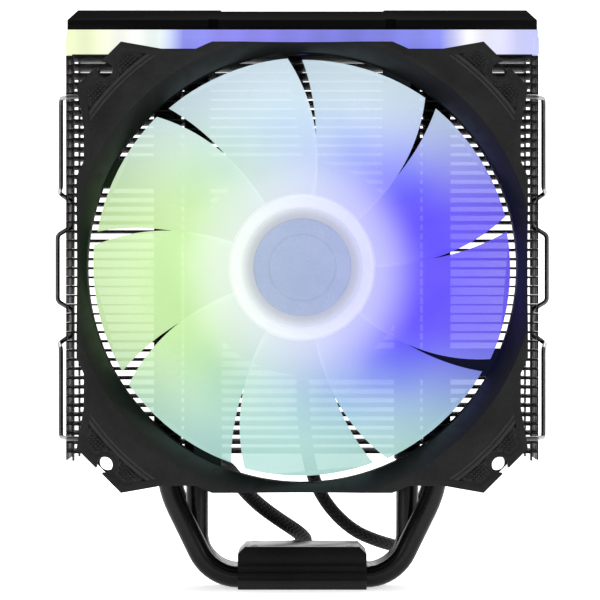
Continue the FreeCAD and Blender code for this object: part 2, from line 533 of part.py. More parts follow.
def corner_pad(name, across, up, front, thickness):
    """A rubber pad that fills one corner between the ring and the screw hole."""
    edge = [("pad_start_edge", "pad_start"), ("pad_reach", "pad_knee"), ("pad_knee", "pad_reach"),
            ("pad_start", "pad_start_edge"), ("pad_start", "pad_start")]
    blank = slab(name + "_blank", "XZ_Plane",
                 [(f"{across} * ({x})", f"{FAN_Z} + {up} * ({z})") for x, z in edge],
                 f"-({front})", thickness, towards_back=True)
    ring = cylinder(name + "_ring", "pad_inner_radius", f"{thickness} + 2", 0, f"{front} - 1", FAN_Z)
    hole = cylinder(name + "_hole", "pad_hole_radius", f"{thickness} + 2", f"{across} * {HOLE}",
                    f"{front} - 1", f"{FAN_Z} + {up} * {HOLE}")
    return node(name, cut(name, blank, ring, hole))


CORNER_NAMES = {(-1, -1): "lower_left", (1, -1): "lower_right", (-1, 1): "upper_left", (1, 1): "upper_right"}
front_pads = [corner_pad(f"front_pad_{name}", across, up, f"{FAN_FRONT} - pad_proud", "pad_thickness")
              for (across, up), name in CORNER_NAMES.items()]
for (across, up), name in CORNER_NAMES.items():
    corner_pad(f"rear_pad_{name}", across, up, FAN_REAR, "fan_gap")

lugs = []
pin_holes = []
for at, (across, up) in enumerate(CORNERS):
    low = "lug_top - lug_height" if up > 0 else "-lug_top"
    left = "ear_inner" if across > 0 else "-lug_x - lug_width / 2"
    lugs.append(box(f"lug_{at}", "lug_x + lug_width / 2 - ear_inner", "lug_width", "lug_height", left,
                    "lug_y - lug_width / 2", f"{FAN_Z} + {low}"))
    pin_holes.append(cylinder(f"pin_hole_{at}", "wire_radius + wire_fit", "lug_height + 2",
                              f"{across} * lug_x", "lug_y", f"{FAN_Z} + {low} - 1", UPRIGHT))

STRUT_END = "(sqrt(bore_radius ^ 2 - (strut_offset - strut_width / 2) ^ 2) + strut_root)"
STRUT_Y = f"{FAN_REAR} - strut_thickness"
NEAR, FAR = "(strut_offset - strut_width / 2)", "(strut_offset + strut_width / 2)"
struts = [
    box("strut_right", STRUT_END, "strut_thickness", "strut_width", 0, STRUT_Y, f"{FAN_Z} - {FAR}"),
    box("strut_left", STRUT_END, "strut_thickness", "strut_width", f"-{STRUT_END}", STRUT_Y,
        f"{FAN_Z} + {NEAR}"),
    box("strut_down", "strut_width", "strut_thickness", STRUT_END, f"-{FAR}", STRUT_Y,
        f"{FAN_Z} - {STRUT_END}"),
    box("strut_up", "strut_width", "strut_thickness", STRUT_END, NEAR, STRUT_Y, FAN_Z),
]
motor_base = cylinder("motor_base", "motor_base_radius", "strut_thickness", 0, STRUT_Y, FAN_Z)
boss = cylinder("boss", "boss_radius", "boss_length + 1", 0, f"{STRUT_Y} - boss_length", FAN_Z)
boss_bore = cylinder("boss_bore", "boss_bore", "boss_length + 1", 0, f"{STRUT_Y} - boss_length - 1", FAN_Z)
ring = cut("fan_ring", fuse("fan_ring_blank", front_plate, rear_plate, barrel, *lugs), bore, flare,
           *fan_holes, *hole_slots, *pin_holes, *front_pads)
core = cut("motor_mount", fuse("motor_mount_blank", motor_base, boss, *struts), boss_bore)
node("fan_frame", fuse("fan_frame", ring, core))
node("fan_label", cylinder("fan_label", "label_radius", "label_thickness", 0, FAN_REAR, FAN_Z))
gland_x, gland_y, gland_z = FAN_CABLE_ROUTE[0]
node("fan_cable_gland", cylinder("fan_cable_gland", "gland_radius", "gland_length", gland_x, FAN_REAR, gland_z))

# Rotor: a cup with a steel ring, a magnet, a shaft and swept blades, turning in the sleeve of the boss.
HUB_FRONT = f"({FAN_FRONT} + hub_front)"
CUP_FLOOR = f"({HUB_FRONT} + hub_wall)"
IRON_REAR = f"({CUP_FLOOR} + iron_length)"


def tube(name, outer, inner, front, length):
    """A round ring along the fan's axis."""
    return cut(name, cylinder(name + "_outer", outer, length, 0, front, FAN_Z),
               cylinder(name + "_inner", inner, f"{length} + 2", 0, f"{front} - 1", FAN_Z))


def hub_blank():
    """The hub's outer cup, rounded at its front edge and dished on its face."""
    nose = cylinder("hub_nose", "hub_radius", "hub_length", 0, HUB_FRONT, FAN_Z)
    soft = doc.addObject("Part::Fillet", "hub_soft")
    soft.Base = nose
    doc.recompute()
    front = min(range(len(nose.Shape.Edges)), key=lambda at: nose.Shape.Edges[at].BoundBox.Center.y
                if nose.Shape.Edges[at].Closed and len(nose.Shape.Edges[at].Vertexes) == 1 else 1e9)
    soft.Edges = [(front + 1, size("hub_edge_radius"), size("hub_edge_radius"))]
    cup = cylinder("hub_cup", "hub_radius - hub_wall", "hub_length", 0, CUP_FLOOR, FAN_Z)
    dish = cylinder("hub_dish", "hub_ring_radius", "hub_dish_depth + 1", 0, f"{HUB_FRONT} - 1", FAN_Z)
    return cut("hub", soft, cup, dish)


BLADE_SECTIONS = 5
BLADE_POINTS = 9


def blend(name, out):
    """A blade size between its value at the hub and its value at the tip."""
    root = size(f"{name}_root")
    return root + (size(f"{name}_tip") - root) * out


def blade_point(radius, along, face):
    """A point of one blade: along runs from leading to trailing edge, face is -1 in front or 1 behind."""
    inner, outer = size("hub_radius"), size("blade_tip_radius")
    out = max(radius - inner, 0.0) / (outer - inner)
    angle = math.radians(size("blade_lead") * out ** 1.5 + blend("blade_span", out) * along)
    bulge = max(math.sin(math.pi * along), 0.0)
    middle = size(f"{FAN_FRONT} + blade_front + blade_thickness / 2")
    middle += blend("blade_rise", out) * along + size("blade_camber") * bulge
    edge = size("blade_edge_share")
    half = size("blade_thickness") / 2 * (edge + (1 - edge) * bulge ** 0.6)
    return Vector(radius * math.cos(angle), middle + face * half, radius * math.sin(angle))


def middle_of(edge):
    """The point halfway along an edge."""
    return edge.valueAt((edge.FirstParameter + edge.LastParameter) / 2)


def blade():
    """One blade: a front and a back face, closed by narrow faces along their four edges."""
    inner, outer = size("hub_radius - hub_wall / 2"), size("blade_tip_radius")
    radii = [inner + (outer - inner) * step / (BLADE_SECTIONS - 1) for step in range(BLADE_SECTIONS)]
    skins = []
    for face in (-1, 1):
        skin = Part.BSplineSurface()
        skin.interpolate([[blade_point(radius, at / (BLADE_POINTS - 1), face) for at in range(BLADE_POINTS)]
                          for radius in radii])
        skins.append(skin.toShape())
    faces = list(skins)
    for edge in skins[0].Edges:
        facing = min(skins[1].Edges, key=lambda other: middle_of(other).distanceToPoint(middle_of(edge)))
        faces.append(Part.makeRuledSurface(edge, facing))
    shell = Part.makeShell(faces)
    shell.sewShape(1e-4)
    solid = Part.Solid(shell)
    if solid.Volume < 0:
        solid.reverse()
    solid.fix(1e-4, 1e-4, 1e-4)
    return solid


hub = hub_blank()
doc.recompute()
single = blade()
blades = []
for at in range(count("blade_count")):
    turned = single.copy()
    turned.rotate(Vector(), Vector(0, 1, 0), 360.0 * at / count("blade_count"))
    turned.translate(Vector(0, 0, size(FAN_Z)))
    blades.append(turned)
inside = doc.getObject("hub_cup").Shape
trimmed = [each.cut(inside) for each in blades]
node("impeller", fixed("impeller", hub.Shape.fuse(trimmed)))
node("hub_cap", cylinder("hub_cap", "hub_cap_radius", "hub_cap_thickness", 0,
                         f"{HUB_FRONT} + hub_dish_depth - hub_cap_thickness", FAN_Z))
iron_cup = cylinder("iron_cup", "hub_radius - hub_wall", "iron_length", 0, CUP_FLOOR, FAN_Z)
iron_inside = cylinder("iron_inside", "hub_radius - hub_wall - iron_wall", "iron_length", 0,
                       f"{CUP_FLOOR} + iron_wall", FAN_Z)
shaft_hole = cylinder("shaft_hole", "shaft_radius", "4 * iron_wall", 0, f"{CUP_FLOOR} - iron_wall", FAN_Z)
node("rotor_back_iron", cut("rotor_back_iron", iron_cup, iron_inside, shaft_hole))
node("rotor_magnet", tube("rotor_magnet", "hub_radius - hub_wall - iron_wall",
                          "hub_radius - hub_wall - iron_wall - magnet_wall", f"{IRON_REAR} - magnet_length",
                          "magnet_length"))
WASHER_FRONT = f"({STRUT_Y} - washer_thickness)"
node("rotor_shaft", cylinder("rotor_shaft", "shaft_radius", f"{WASHER_FRONT} - bearing_fit - {CUP_FLOOR}", 0,
                             CUP_FLOOR, FAN_Z))
node("thrust_washer", cylinder("thrust_washer", "boss_bore", "washer_thickness", 0, WASHER_FRONT, FAN_Z))
node("bearing_sleeve", tube("bearing_sleeve", "boss_bore", "shaft_radius + bearing_fit",
                            f"{STRUT_Y} - boss_length + washer_thickness",
                            "boss_length - 2 * washer_thickness"))

# Motor: a four-tooth core on the boss, a winding on each tooth, and a round board that carries lights.
CORE_FRONT = f"({FAN_REAR} - core_rear - core_height)"
TEETH = [(1, 0), (0, 1), (-1, 0), (0, -1)]
teeth = []
for at, (across, up) in enumerate(TEETH):
    length = f"{abs(across)} * core_radius + {abs(up)} * tooth_width"
    height = f"{abs(up)} * core_radius + {abs(across)} * tooth_width"
    teeth.append(box(f"tooth_{at}", length, "core_height", height,
                     f"{min(across, 0)} * core_radius - {abs(up)} * tooth_width / 2", CORE_FRONT,
                     f"{FAN_Z} + {min(up, 0)} * core_radius - {abs(across)} * tooth_width / 2"))
core_disc = cylinder("core_disc", "core_radius", "core_height", 0, CORE_FRONT, FAN_Z)
core_hub = cylinder("core_hub", "core_hub_radius", "core_height", 0, CORE_FRONT, FAN_Z)
core_bore = cylinder("core_bore", "boss_radius", "core_height + 2", 0, f"{CORE_FRONT} - 1", FAN_Z)
tooth_cross = common("tooth_cross", fuse("teeth", *teeth), core_disc)
node("stator_core", cut("stator_core", fuse("stator_blank", core_hub, tooth_cross), core_bore))
windings = []
for at, (across, up) in enumerate(TEETH):
    start, length = "core_hub_radius", "(core_radius - tooth_cap - core_hub_radius)"
    wide = "(tooth_width + 2 * winding_wall)"
    x = {1: start, -1: f"-{start} - {length}", 0: f"-{wide} / 2"}[across]
    z = {1: start, -1: f"-{start} - {length}", 0: f"-{wide} / 2"}[up]
    windings.append(box(f"winding_blank_{at}", length if across else wide, "core_height + 2 * winding_wall",
                        wide if across else length, x, f"{CORE_FRONT} - winding_wall", f"{FAN_Z} + {z}"))
wound = [cut(f"winding_{at}", each, teeth[at], core_hub) for at, each in enumerate(windings)]
bundle("stator_windings", wound)
node("motor_board", tube("motor_board", "board_radius", "boss_radius", f"{STRUT_Y} - board_thickness",
                         "board_thickness"))
bundle("motor_lights", [
    block(f"motor_light_{at}", "motor_light_length", "motor_light_height", "motor_light_width",
          f"motor_light_radius * cos({at} * 360 / motor_light_count)",
          f"{STRUT_Y} - board_thickness - motor_light_height / 2",
          f"{FAN_Z} + motor_light_radius * sin({at} * 360 / motor_light_count) - motor_light_width / 2")
    for at in range(count("motor_light_count"))])


# Wire clips: each hooks into two lugs, lies in the fins' side groove and has a finger loop.
def wire_clip(name, side):
    """One clip: the line of its upper half, mirrored for the lower half."""
    seat_x = size("fin_width / 2 - clip_groove_depth + wire_radius + clip_seat_gap")
    elbow_x = size("fan_side / 2 + clip_elbow_clear")
    side_x, knee_x, loop_x = (size(f"fin_width / 2 + clip_{bend}_clear") for bend in ("side", "knee", "loop"))
    arm, knee, groove_y = size("clip_arm_height"), size("clip_knee_height"), -size("clip_groove_y")
    loop = size("clip_loop_half")
    upper = [
        (size("lug_x"), size("lug_y"), arm - size("clip_pin_length")), (size("lug_x"), size("lug_y"), arm),
        (elbow_x, size("clip_elbow_y"), arm), (side_x, size("clip_side_y"), arm),
        (side_x, size("clip_side_y"), knee), (knee_x, groove_y, knee - size("clip_knee_drop")),
        (seat_x, groove_y, size("clip_seat_height")), (seat_x, groove_y, loop + size("clip_loop_rise")),
        (loop_x, groove_y, loop),
    ]
    line = upper + [(x, y, -z) for x, y, z in reversed(upper)]
    points = [Vector(side * x, y, size(FAN_Z) + z) for x, y, z in line]
    return node(name, fixed(name, swept(rounded_path(points, [size("wire_bend")] * (len(points) - 2)),
                                        size("wire_radius"))))


wire_clip("left_clip", -1)
wire_clip("right_clip", 1)


# Cables: each leaves its exit, hangs behind the fins and ends in a tied flat coil behind the base.
def cable(name, route, diameter):
    """The loose stretch: runs joined by arcs as large as they allow."""
    points = [Vector(*each) for each in route]
    radii = []
    for at in range(1, len(points) - 1):
        back, onward = points[at - 1] - points[at], points[at + 1] - points[at]
        half = (math.pi - back.getAngle(onward)) / 2
        radii.append(0.45 * min(back.Length, onward.Length) / math.tan(half))
    path = rounded_path(points, radii)
    print(f"{name}: {path.Length:.1f} mm, tightest bend {min(radii):.1f} mm")
    return node(name, fixed(name, swept(path, diameter / 2)))


def flat_coil(name, low, diameter, side, *openings):
    """The outer shape of the turns, open where the plugs lie and where the cable comes in on one side."""
    reach = f"(coil_half_width + {diameter} / 2)"
    straight = block(name + "_straight", f"2 * {reach}", "coil_straight", diameter, 0,
                     "coil_near_y + coil_straight / 2", low)
    far_end = cylinder(name + "_far_end", reach, diameter, 0, "coil_near_y + coil_straight", low, UPRIGHT)
    inset = f"({diameter} + coil_turn_gap) / 2"
    near_end = cylinder(name + "_near_end", f"{reach} - {inset}", diameter, f"{-side} * {inset}", "coil_near_y",
                        low, UPRIGHT)
    return node(name, cut(name, fuse(name + "_blank", straight, near_end, far_end), *openings))


THROUGH = "(coil_straight + 2 * coil_half_width)"


def plug(name, y, lift):
    """A plug's plain body, and the room it needs inside the coils."""
    body = block(name, f"{name}_width", f"{name}_length", f"{name}_height", 0, f"{y} + {name}_length / 2", lift)
    room = block(name + "_room", f"{name}_width + 2 * plug_room", f"{name}_length + 2 * plug_room",
                 f"2 * {THROUGH}", 0, f"{y} + {name}_length / 2", f"-{THROUGH}")
    node(name, body)
    return room


def way_in(name, side, diameter, end_y):
    """The corner a coil leaves free for its own incoming cable."""
    inner = f"(coil_half_width - {diameter} / 2 - coil_turn_gap / 2)"
    return box(name, "coil_half_width", THROUGH, f"2 * {THROUGH}",
               inner if side > 0 else f"-{inner} - coil_half_width", f"{end_y} - {THROUGH}", f"-{THROUGH}")


cable("fan_cable", FAN_CABLE_ROUTE, size("fan_cable_diameter"))
cable("light_cable", LIGHT_CABLE_ROUTE, size("light_cable_diameter"))
fan_plug_room = plug("fan_plug", "fan_plug_y", "fan_plug_lift")
light_plug_room = plug("light_plug", "light_plug_y", "light_plug_lift")
LIGHT_COIL_TOP = "(tie_thickness + light_cable_diameter)"
flat_coil("light_cable_coil", "tie_thickness", "light_cable_diameter", 1, fan_plug_room, light_plug_room,
          way_in("light_way_in", 1, "light_cable_diameter", LIGHT_CABLE_ROUTE[-1][1]))
flat_coil("fan_cable_coil", LIGHT_COIL_TOP, "fan_cable_diameter", -1, fan_plug_room,
          way_in("fan_way_in", -1, "fan_cable_diameter", FAN_CABLE_ROUTE[-1][1]))
COIL_REACH = "(coil_half_width + fan_cable_diameter / 2 + tie_fit)"
TIE_TOP = f"({LIGHT_COIL_TOP} + fan_cable_diameter)"
tie_outer = block("tie_outer", f"2 * ({COIL_REACH} + tie_thickness)", "tie_width",
                  f"{TIE_TOP} + tie_thickness", 0, "tie_y")
tie_inner = block("tie_inner", f"2 * {COIL_REACH}", "tie_width + 2", f"{TIE_TOP} - tie_thickness", 0, "tie_y",
                  "tie_thickness")
node("cable_tie", cut("cable_tie", tie_outer, tie_inner))

doc.recompute()
for thing in doc.Objects:
    if "Invalid" in thing.State or "Error" in thing.State:
        raise SystemExit(f"{thing.Label} did not compute: {thing.State}")
os.makedirs("parts", exist_ok=True)
for name, thing in NODES.items():
    shape = thing.Shape
    if shape.isNull() or not shape.isValid() or shape.Volume <= 0:
        raise SystemExit(f"{name} has no sound shape")
    shape.exportStep(f"parts/{name}.step")
    print(f"{name}: {len(shape.Solids)} solids, {shape.Volume / 1000:.2f} cm3")
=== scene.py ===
# %% [markdown]
# # A tower cooler for a processor
#
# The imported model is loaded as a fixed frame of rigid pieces, and everything that follows dresses it:
# softer edges, woven cables, glowing plastic and black metal. Lengths are metres, +Z is up along the tower,
# and the fan's open side looks to -Y. Each step has a text cell that says what the piece is and why it is
# made this way.

# %% Load the frame
import json
import math
from contextlib import contextmanager

import bmesh
import bpy
from mathutils import Matrix, Vector


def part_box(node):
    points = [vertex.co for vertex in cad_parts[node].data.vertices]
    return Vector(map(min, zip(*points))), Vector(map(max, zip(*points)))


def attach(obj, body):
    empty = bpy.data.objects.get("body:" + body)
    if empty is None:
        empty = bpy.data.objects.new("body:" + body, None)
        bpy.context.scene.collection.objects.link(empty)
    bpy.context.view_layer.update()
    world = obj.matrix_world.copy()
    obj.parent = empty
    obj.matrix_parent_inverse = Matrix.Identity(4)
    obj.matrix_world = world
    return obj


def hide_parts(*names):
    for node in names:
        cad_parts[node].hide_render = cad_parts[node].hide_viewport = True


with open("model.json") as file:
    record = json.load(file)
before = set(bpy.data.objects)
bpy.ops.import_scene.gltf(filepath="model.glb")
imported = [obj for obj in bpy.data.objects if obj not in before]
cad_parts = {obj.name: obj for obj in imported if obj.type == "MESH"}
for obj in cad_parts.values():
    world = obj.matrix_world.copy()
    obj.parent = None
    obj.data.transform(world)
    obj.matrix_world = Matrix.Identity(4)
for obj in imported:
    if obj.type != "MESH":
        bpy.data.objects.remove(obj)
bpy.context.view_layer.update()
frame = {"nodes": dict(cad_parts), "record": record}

MM = 0.001
NODES = frame["nodes"]
SCENE = bpy.context.scene

# %% [markdown]
# ## Camera, light and floor
#
# A product on a shop page is shot from far away with a long lens, so that upright edges stay upright. The
# camera stands level, one and a half metres in front of the fan. A pale floor that curves up into a wall
# leaves no horizon line. Large soft lamps at both sides draw long highlights on black metal, which has no
# colour of its own to show its shape.

# %% Camera
FAN_Z = 0.0874
FAN_FRONT = -0.051
camera_data = bpy.data.cameras.new("camera")
camera_data.lens = 338.7
camera_data.sensor_width = 36.0
camera_data.clip_end = 20.0
camera = bpy.data.objects.new("camera", camera_data)
camera.location = (-0.0006, -1.551, 0.0787)
camera.rotation_euler = (math.radians(90), 0, 0)
SCENE.collection.objects.link(camera)
SCENE.camera = camera
SCENE.view_settings.view_transform = "Standard"
print("camera at", tuple(round(v, 3) for v in camera.location))


# %% Helpers for nodes
def put(tree, kind, inputs=None, **settings):
    """Add one node, set its options, and give each named input a value or a link."""
    made = tree.nodes.new(kind)
    for name, value in settings.items():
        setattr(made, name, value)
    for name, value in (inputs or {}).items():
        socket = made.inputs[name]
        if isinstance(value, bpy.types.NodeSocket):
            tree.links.new(value, socket)
        else:
            socket.default_value = value
    return made


def maths(tree, operation, first, second=0.0):
    """One step of arithmetic between sockets or numbers."""
    return put(tree, "ShaderNodeMath", {0: first, 1: second}, operation=operation).outputs[0]


def remap(tree, value, low, high, start=0.0, end=1.0, smooth=False):
    """Carry a value from one range over to another, and hold it at the ends."""
    ranges = {"Value": value, "From Min": low, "From Max": high, "To Min": start, "To Max": end}
    kind = "SMOOTHSTEP" if smooth else "LINEAR"
    return put(tree, "ShaderNodeMapRange", ranges, interpolation_type=kind).outputs[0]


def here(tree):
    """The place of each point of the surface, in the piece's own space."""
    return put(tree, "ShaderNodeTexCoord").outputs["Object"]


def split(tree, vector):
    """The X, Y and Z of a vector."""
    return put(tree, "ShaderNodeSeparateXYZ", {0: vector}).outputs


def noise(tree, place, scale, detail):
    """Soft noise from 0 to 1."""
    return put(tree, "ShaderNodeTexNoise", {"Vector": place, "Scale": scale, "Detail": detail}).outputs["Fac"]


def blend_colours(tree, factor, first, second, mode="MIX"):
    """Mix two colours by a factor."""
    made = put(tree, "ShaderNodeMix", data_type="RGBA", blend_type=mode)
    for index, value in ((0, factor), (6, first), (7, second)):
        if isinstance(value, bpy.types.NodeSocket):
            tree.links.new(value, made.inputs[index])
        else:
            made.inputs[index].default_value = value
    return made.outputs[2]


def ramp(tree, factor, stops):
    """A colour ramp with stops of (position, colour)."""
    made = put(tree, "ShaderNodeValToRGB", {"Fac": factor})
    band = made.color_ramp
    for position, colour in stops[1:-1]:
        band.elements.new(position).color = colour
    for element, (position, colour) in zip(band.elements, stops):
        element.position = position
        element.color = colour
    return made.outputs["Color"]


def grey(value):
    """An opaque grey."""
    return (value, value, value, 1.0)


# %% Light and floor
def add_object(name, data):
    """A new object in the scene."""
    made = bpy.data.objects.new(name, data)
    SCENE.collection.objects.link(made)
    return made


def soft_lamp(name, place, aim, size, power):
    """A square soft lamp that looks at a point."""
    data = bpy.data.lights.new(name, "AREA")
    data.shape = "RECTANGLE"
    data.size, data.size_y = size
    data.energy = power
    lamp = add_object(name, data)
    lamp.location = place
    lamp.rotation_euler = (Vector(aim) - Vector(place)).to_track_quat("-Z", "Y").to_euler()


CENTRE = (0, -0.01, 0.08)
SIDE_POWER = 3.0
soft_lamp("lamp_left", (-0.75, -0.75, 0.45), CENTRE, (0.35, 0.9), SIDE_POWER)
soft_lamp("lamp_right", (0.75, -0.75, 0.45), CENTRE, (0.35, 0.9), SIDE_POWER)
soft_lamp("lamp_top", (0, -0.25, 0.9), CENTRE, (0.8, 0.5), 3.5)
soft_lamp("lamp_back", (0.2, 0.9, 0.7), CENTRE, (0.9, 0.5), 5.0)
world = bpy.data.worlds.new("studio")
SCENE.world = world
world.use_nodes = True
backdrop = world.node_tree.nodes["Background"].inputs
backdrop["Color"].default_value = (0.97, 0.98, 1.0, 1.0)
backdrop["Strength"].default_value = 0.6

FLOOR_HALF = 4.0
WALL_BEND = 0.6
BEND_START = 1.2
WALL_TOP = 3.0


def sweep_floor():
    """A floor that curves up into a wall far behind the object."""
    line = [(-FLOOR_HALF, 0.0), (BEND_START, 0.0)]
    for degrees in range(10, 91, 10):
        angle = math.radians(degrees)
        line.append((BEND_START + WALL_BEND * math.sin(angle), WALL_BEND - WALL_BEND * math.cos(angle)))
    line.append((BEND_START + WALL_BEND, WALL_TOP))
    mesh = bpy.data.meshes.new("studio_floor")
    points = [(x, y, z) for y, z in line for x in (-FLOOR_HALF, FLOOR_HALF)]
    faces = [(2 * at, 2 * at + 1, 2 * at + 3, 2 * at + 2) for at in range(len(line) - 1)]
    mesh.from_pydata(points, [], faces)
    mesh.polygons.foreach_set("use_smooth", [True] * len(faces))
    floor = add_object("studio_floor", mesh)
    return floor


def floor_finish():
    """Pale painted board, with a faint mottle."""
    material = bpy.data.materials.new("pale_board")
    material.use_nodes = True
    tree = material.node_tree
    shader = tree.nodes["Principled BSDF"]
    mottle = noise(tree, here(tree), 60.0, 3.0)
    tree.links.new(ramp(tree, mottle, [(0.3, grey(0.93)), (0.7, grey(0.97))]), shader.inputs["Base Color"])
    shader.inputs["Roughness"].default_value = 0.7
    shader.inputs["Specular IOR Level"].default_value = 0.2
    shader.inputs["Emission Color"].default_value = grey(1.0)
    shader.inputs["Emission Strength"].default_value = 0.6
    return material


floor = sweep_floor()
floor.data.materials.append(floor_finish())
print("studio ready")

# %% [markdown]
# ## Shared effects
#
# Real surfaces are never one flat colour. Moulded plastic has a fine spark-eroded grain, painted metal has
# a slight orange peel, and both vary a little in gloss. These small effects are shader groups, built once
# and placed in each material with its own numbers. A group gives out only a colour, a roughness or a
# height, and the shader itself stays in the material.

# %% A helper for groups
SOCKETS = {"colour": "NodeSocketColor", "number": "NodeSocketFloat", "vector": "NodeSocketVector"}


def shader_group(name, inputs, outputs):
    """An empty shader group with named sockets. Returns the tree, its input node and its output node."""
    group = bpy.data.node_groups.new(name, "ShaderNodeTree")
    for label, kind in inputs:
        group.interface.new_socket(label, in_out="INPUT", socket_type=SOCKETS[kind])
    for label, kind in outputs:
        group.interface.new_socket(label, in_out="OUTPUT", socket_type=SOCKETS[kind])
    return group, put(group, "NodeGroupInput").outputs, put(group, "NodeGroupOutput").inputs


# %% Grain: moulded or painted surfaces
def make_grain():
    """Fine grain with a slow drift of tone and gloss."""
    tree, given, result = shader_group(
        "grain",
        [("Colour", "colour"), ("Second Colour", "colour"), ("Grain Scale", "number"),
         ("Tone Scale", "number"), ("Roughness", "number"), ("Roughness Spread", "number")],
        [("Colour", "colour"), ("Roughness", "number"), ("Height", "number")])
    place = here(tree)
    tone = noise(tree, place, given["Tone Scale"], 4.0)
    fine = noise(tree, place, given["Grain Scale"], 2.0)
    share = maths(tree, "ADD", maths(tree, "MULTIPLY", tone, 0.6), maths(tree, "MULTIPLY", fine, 0.4))
    spread = remap(tree, share, 0.35, 0.65)
    tree.links.new(blend_colours(tree, spread, given["Colour"], given["Second Colour"]), result["Colour"])
    drift = maths(tree, "MULTIPLY", maths(tree, "SUBTRACT", tone, 0.5), given["Roughness Spread"])
    tree.links.new(maths(tree, "ADD", given["Roughness"], drift), result["Roughness"])
    tree.links.new(fine, result["Height"])
    return tree


GRAIN = make_grain()


# %% Brushing: lines left by a belt or a cutter
def make_brushing():
    """Fine parallel lines along one axis, as from an abrasive belt."""
    tree, given, result = shader_group(
        "brushing", [("Stretch", "vector"), ("Scale", "number")], [("Height", "number"), ("Mask", "number")])
    stretched = {0: here(tree), 1: given["Stretch"]}
    drawn = put(tree, "ShaderNodeVectorMath", stretched, operation="MULTIPLY").outputs[0]
    lines = noise(tree, drawn, given["Scale"], 3.0)
    tree.links.new(lines, result["Height"])
    tree.links.new(remap(tree, lines, 0.42, 0.7), result["Mask"])
    return tree


BRUSHING = make_brushing()


# %% Glow: light that changes colour round the fan
def make_glow():
    """Four colours, one for each side of the fan, blended by the direction from its axis."""
    tree, given, result = shader_group(
        "glow", [("Left", "colour"), ("Right", "colour"), ("Upper", "colour"), ("Lower", "colour")],
        [("Colour", "colour"), ("Radius", "number")])
    from_axis = put(tree, "ShaderNodeVectorMath", {0: here(tree), 1: (0, 0, FAN_Z)}, operation="SUBTRACT")
    parts = split(tree, from_axis.outputs[0])
    flat = put(tree, "ShaderNodeCombineXYZ", {"X": parts["X"], "Z": parts["Z"]}).outputs[0]
    radius = put(tree, "ShaderNodeVectorMath", {0: flat}, operation="LENGTH").outputs["Value"]
    across = remap(tree, parts["X"], -0.036, 0.03, smooth=True)
    sides = blend_colours(tree, across, given["Left"], given["Right"])
    high = remap(tree, parts["Z"], 0.012, 0.05, smooth=True)
    low = remap(tree, parts["Z"], -0.014, -0.052, smooth=True)
    upper = blend_colours(tree, high, sides, given["Upper"])
    tree.links.new(blend_colours(tree, low, upper, given["Lower"]), result["Colour"])
    tree.links.new(radius, result["Radius"])
    return tree


GLOW = make_glow()


# %% Braid: the woven sleeve on a cable
def make_braid():
    """Crossing strands wound round a cable, read from the cable's own UV map."""
    tree, given, result = shader_group(
        "braid", [("Strands", "number"), ("Pitch", "number")], [("Height", "number"), ("Gap", "number")])
    parts = split(tree, put(tree, "ShaderNodeUVMap", uv_map="along").outputs[0])
    turn = maths(tree, "MULTIPLY", parts["X"], given["Strands"])
    run = maths(tree, "MULTIPLY", parts["Y"], given["Pitch"])
    waves = []
    for way in ("ADD", "SUBTRACT"):
        lane = maths(tree, "FRACT", maths(tree, way, turn, run))
        waves.append(maths(tree, "SINE", maths(tree, "MULTIPLY", lane, math.pi)))
    over = maths(tree, "GREATER_THAN", maths(tree, "FRACT", maths(tree, "MULTIPLY", turn, 0.5)), 0.5)
    top = put(tree, "ShaderNodeMix", {0: over, 2: waves[0], 3: waves[1]}, data_type="FLOAT").outputs[0]
    height = maths(tree, "MAXIMUM", top, maths(tree, "MULTIPLY", maths(tree, "MINIMUM", *waves), 0.8))
    tree.links.new(height, result["Height"])
    # Gap is the mask for painted shade where the strands sink between each other.
    tree.links.new(remap(tree, height, 0.25, 0.6), result["Gap"])
    return tree


BRAID = make_braid()
print("shared effects:", ", ".join(group.name for group in (GRAIN, BRUSHING, GLOW, BRAID)))

# %% [markdown]
# ## Materials
#
# Each finish on the real object has one small function here. Constants go straight on the shader's own
# sockets; only what changes over a surface comes from nodes. `moulded` is the shared start: a Principled
# shader whose colour, roughness and bump come from the grain group.


# %% A start for every material
def place_group(tree, group, **inputs):
    """One of the shared groups, with its values; underscores stand for spaces."""
    made = put(tree, "ShaderNodeGroup", node_tree=group)
    for name, value in inputs.items():
        socket = made.inputs[name.replace("_", " ")]
        if isinstance(value, bpy.types.NodeSocket):
            tree.links.new(value, socket)
        else:
            socket.default_value = value
    return made.outputs


def moulded(name, colour, second, roughness, spread, grain, tone, bump, depth=0.05 * MM):
    """A material with grain in its colour, gloss and relief. Returns it with its tree and its shader."""
    material = bpy.data.materials.new(name)
    material.use_nodes = True
    tree = material.node_tree
    shader = tree.nodes["Principled BSDF"]
    grains = place_group(tree, GRAIN, Colour=colour, Second_Colour=second, Grain_Scale=grain, Tone_Scale=tone,
                         Roughness=roughness, Roughness_Spread=spread)
    tree.links.new(grains["Colour"], shader.inputs["Base Color"])
    tree.links.new(grains["Roughness"], shader.inputs["Roughness"])
    relief = put(tree, "ShaderNodeBump", {"Height": grains["Height"], "Strength": bump, "Distance": depth})
    tree.links.new(relief.outputs[0], shader.inputs["Normal"])
    return material, tree, shader


def colour_over(tree, shader, mask, colour):
    """Lay a colour over the one the shader has, wherever a mask says."""
    below = shader.inputs["Base Color"].links[0].from_socket
    tree.links.new(blend_colours(tree, mask, below, colour), shader.inputs["Base Color"])


def relief_over(tree, shader, height, strength, distance):
    """Lay more relief over the relief the shader has."""
    below = shader.inputs["Normal"].links[0].from_socket
    added = {"Height": height, "Strength": strength, "Distance": distance, "Normal": below}
    tree.links.new(put(tree, "ShaderNodeBump", added).outputs[0], shader.inputs["Normal"])


def set_inputs(shader, **values):
    """Constants set on the shader's own sockets; underscores stand for spaces."""
    for name, value in values.items():
        shader.inputs[name.replace("_", " ")].default_value = value


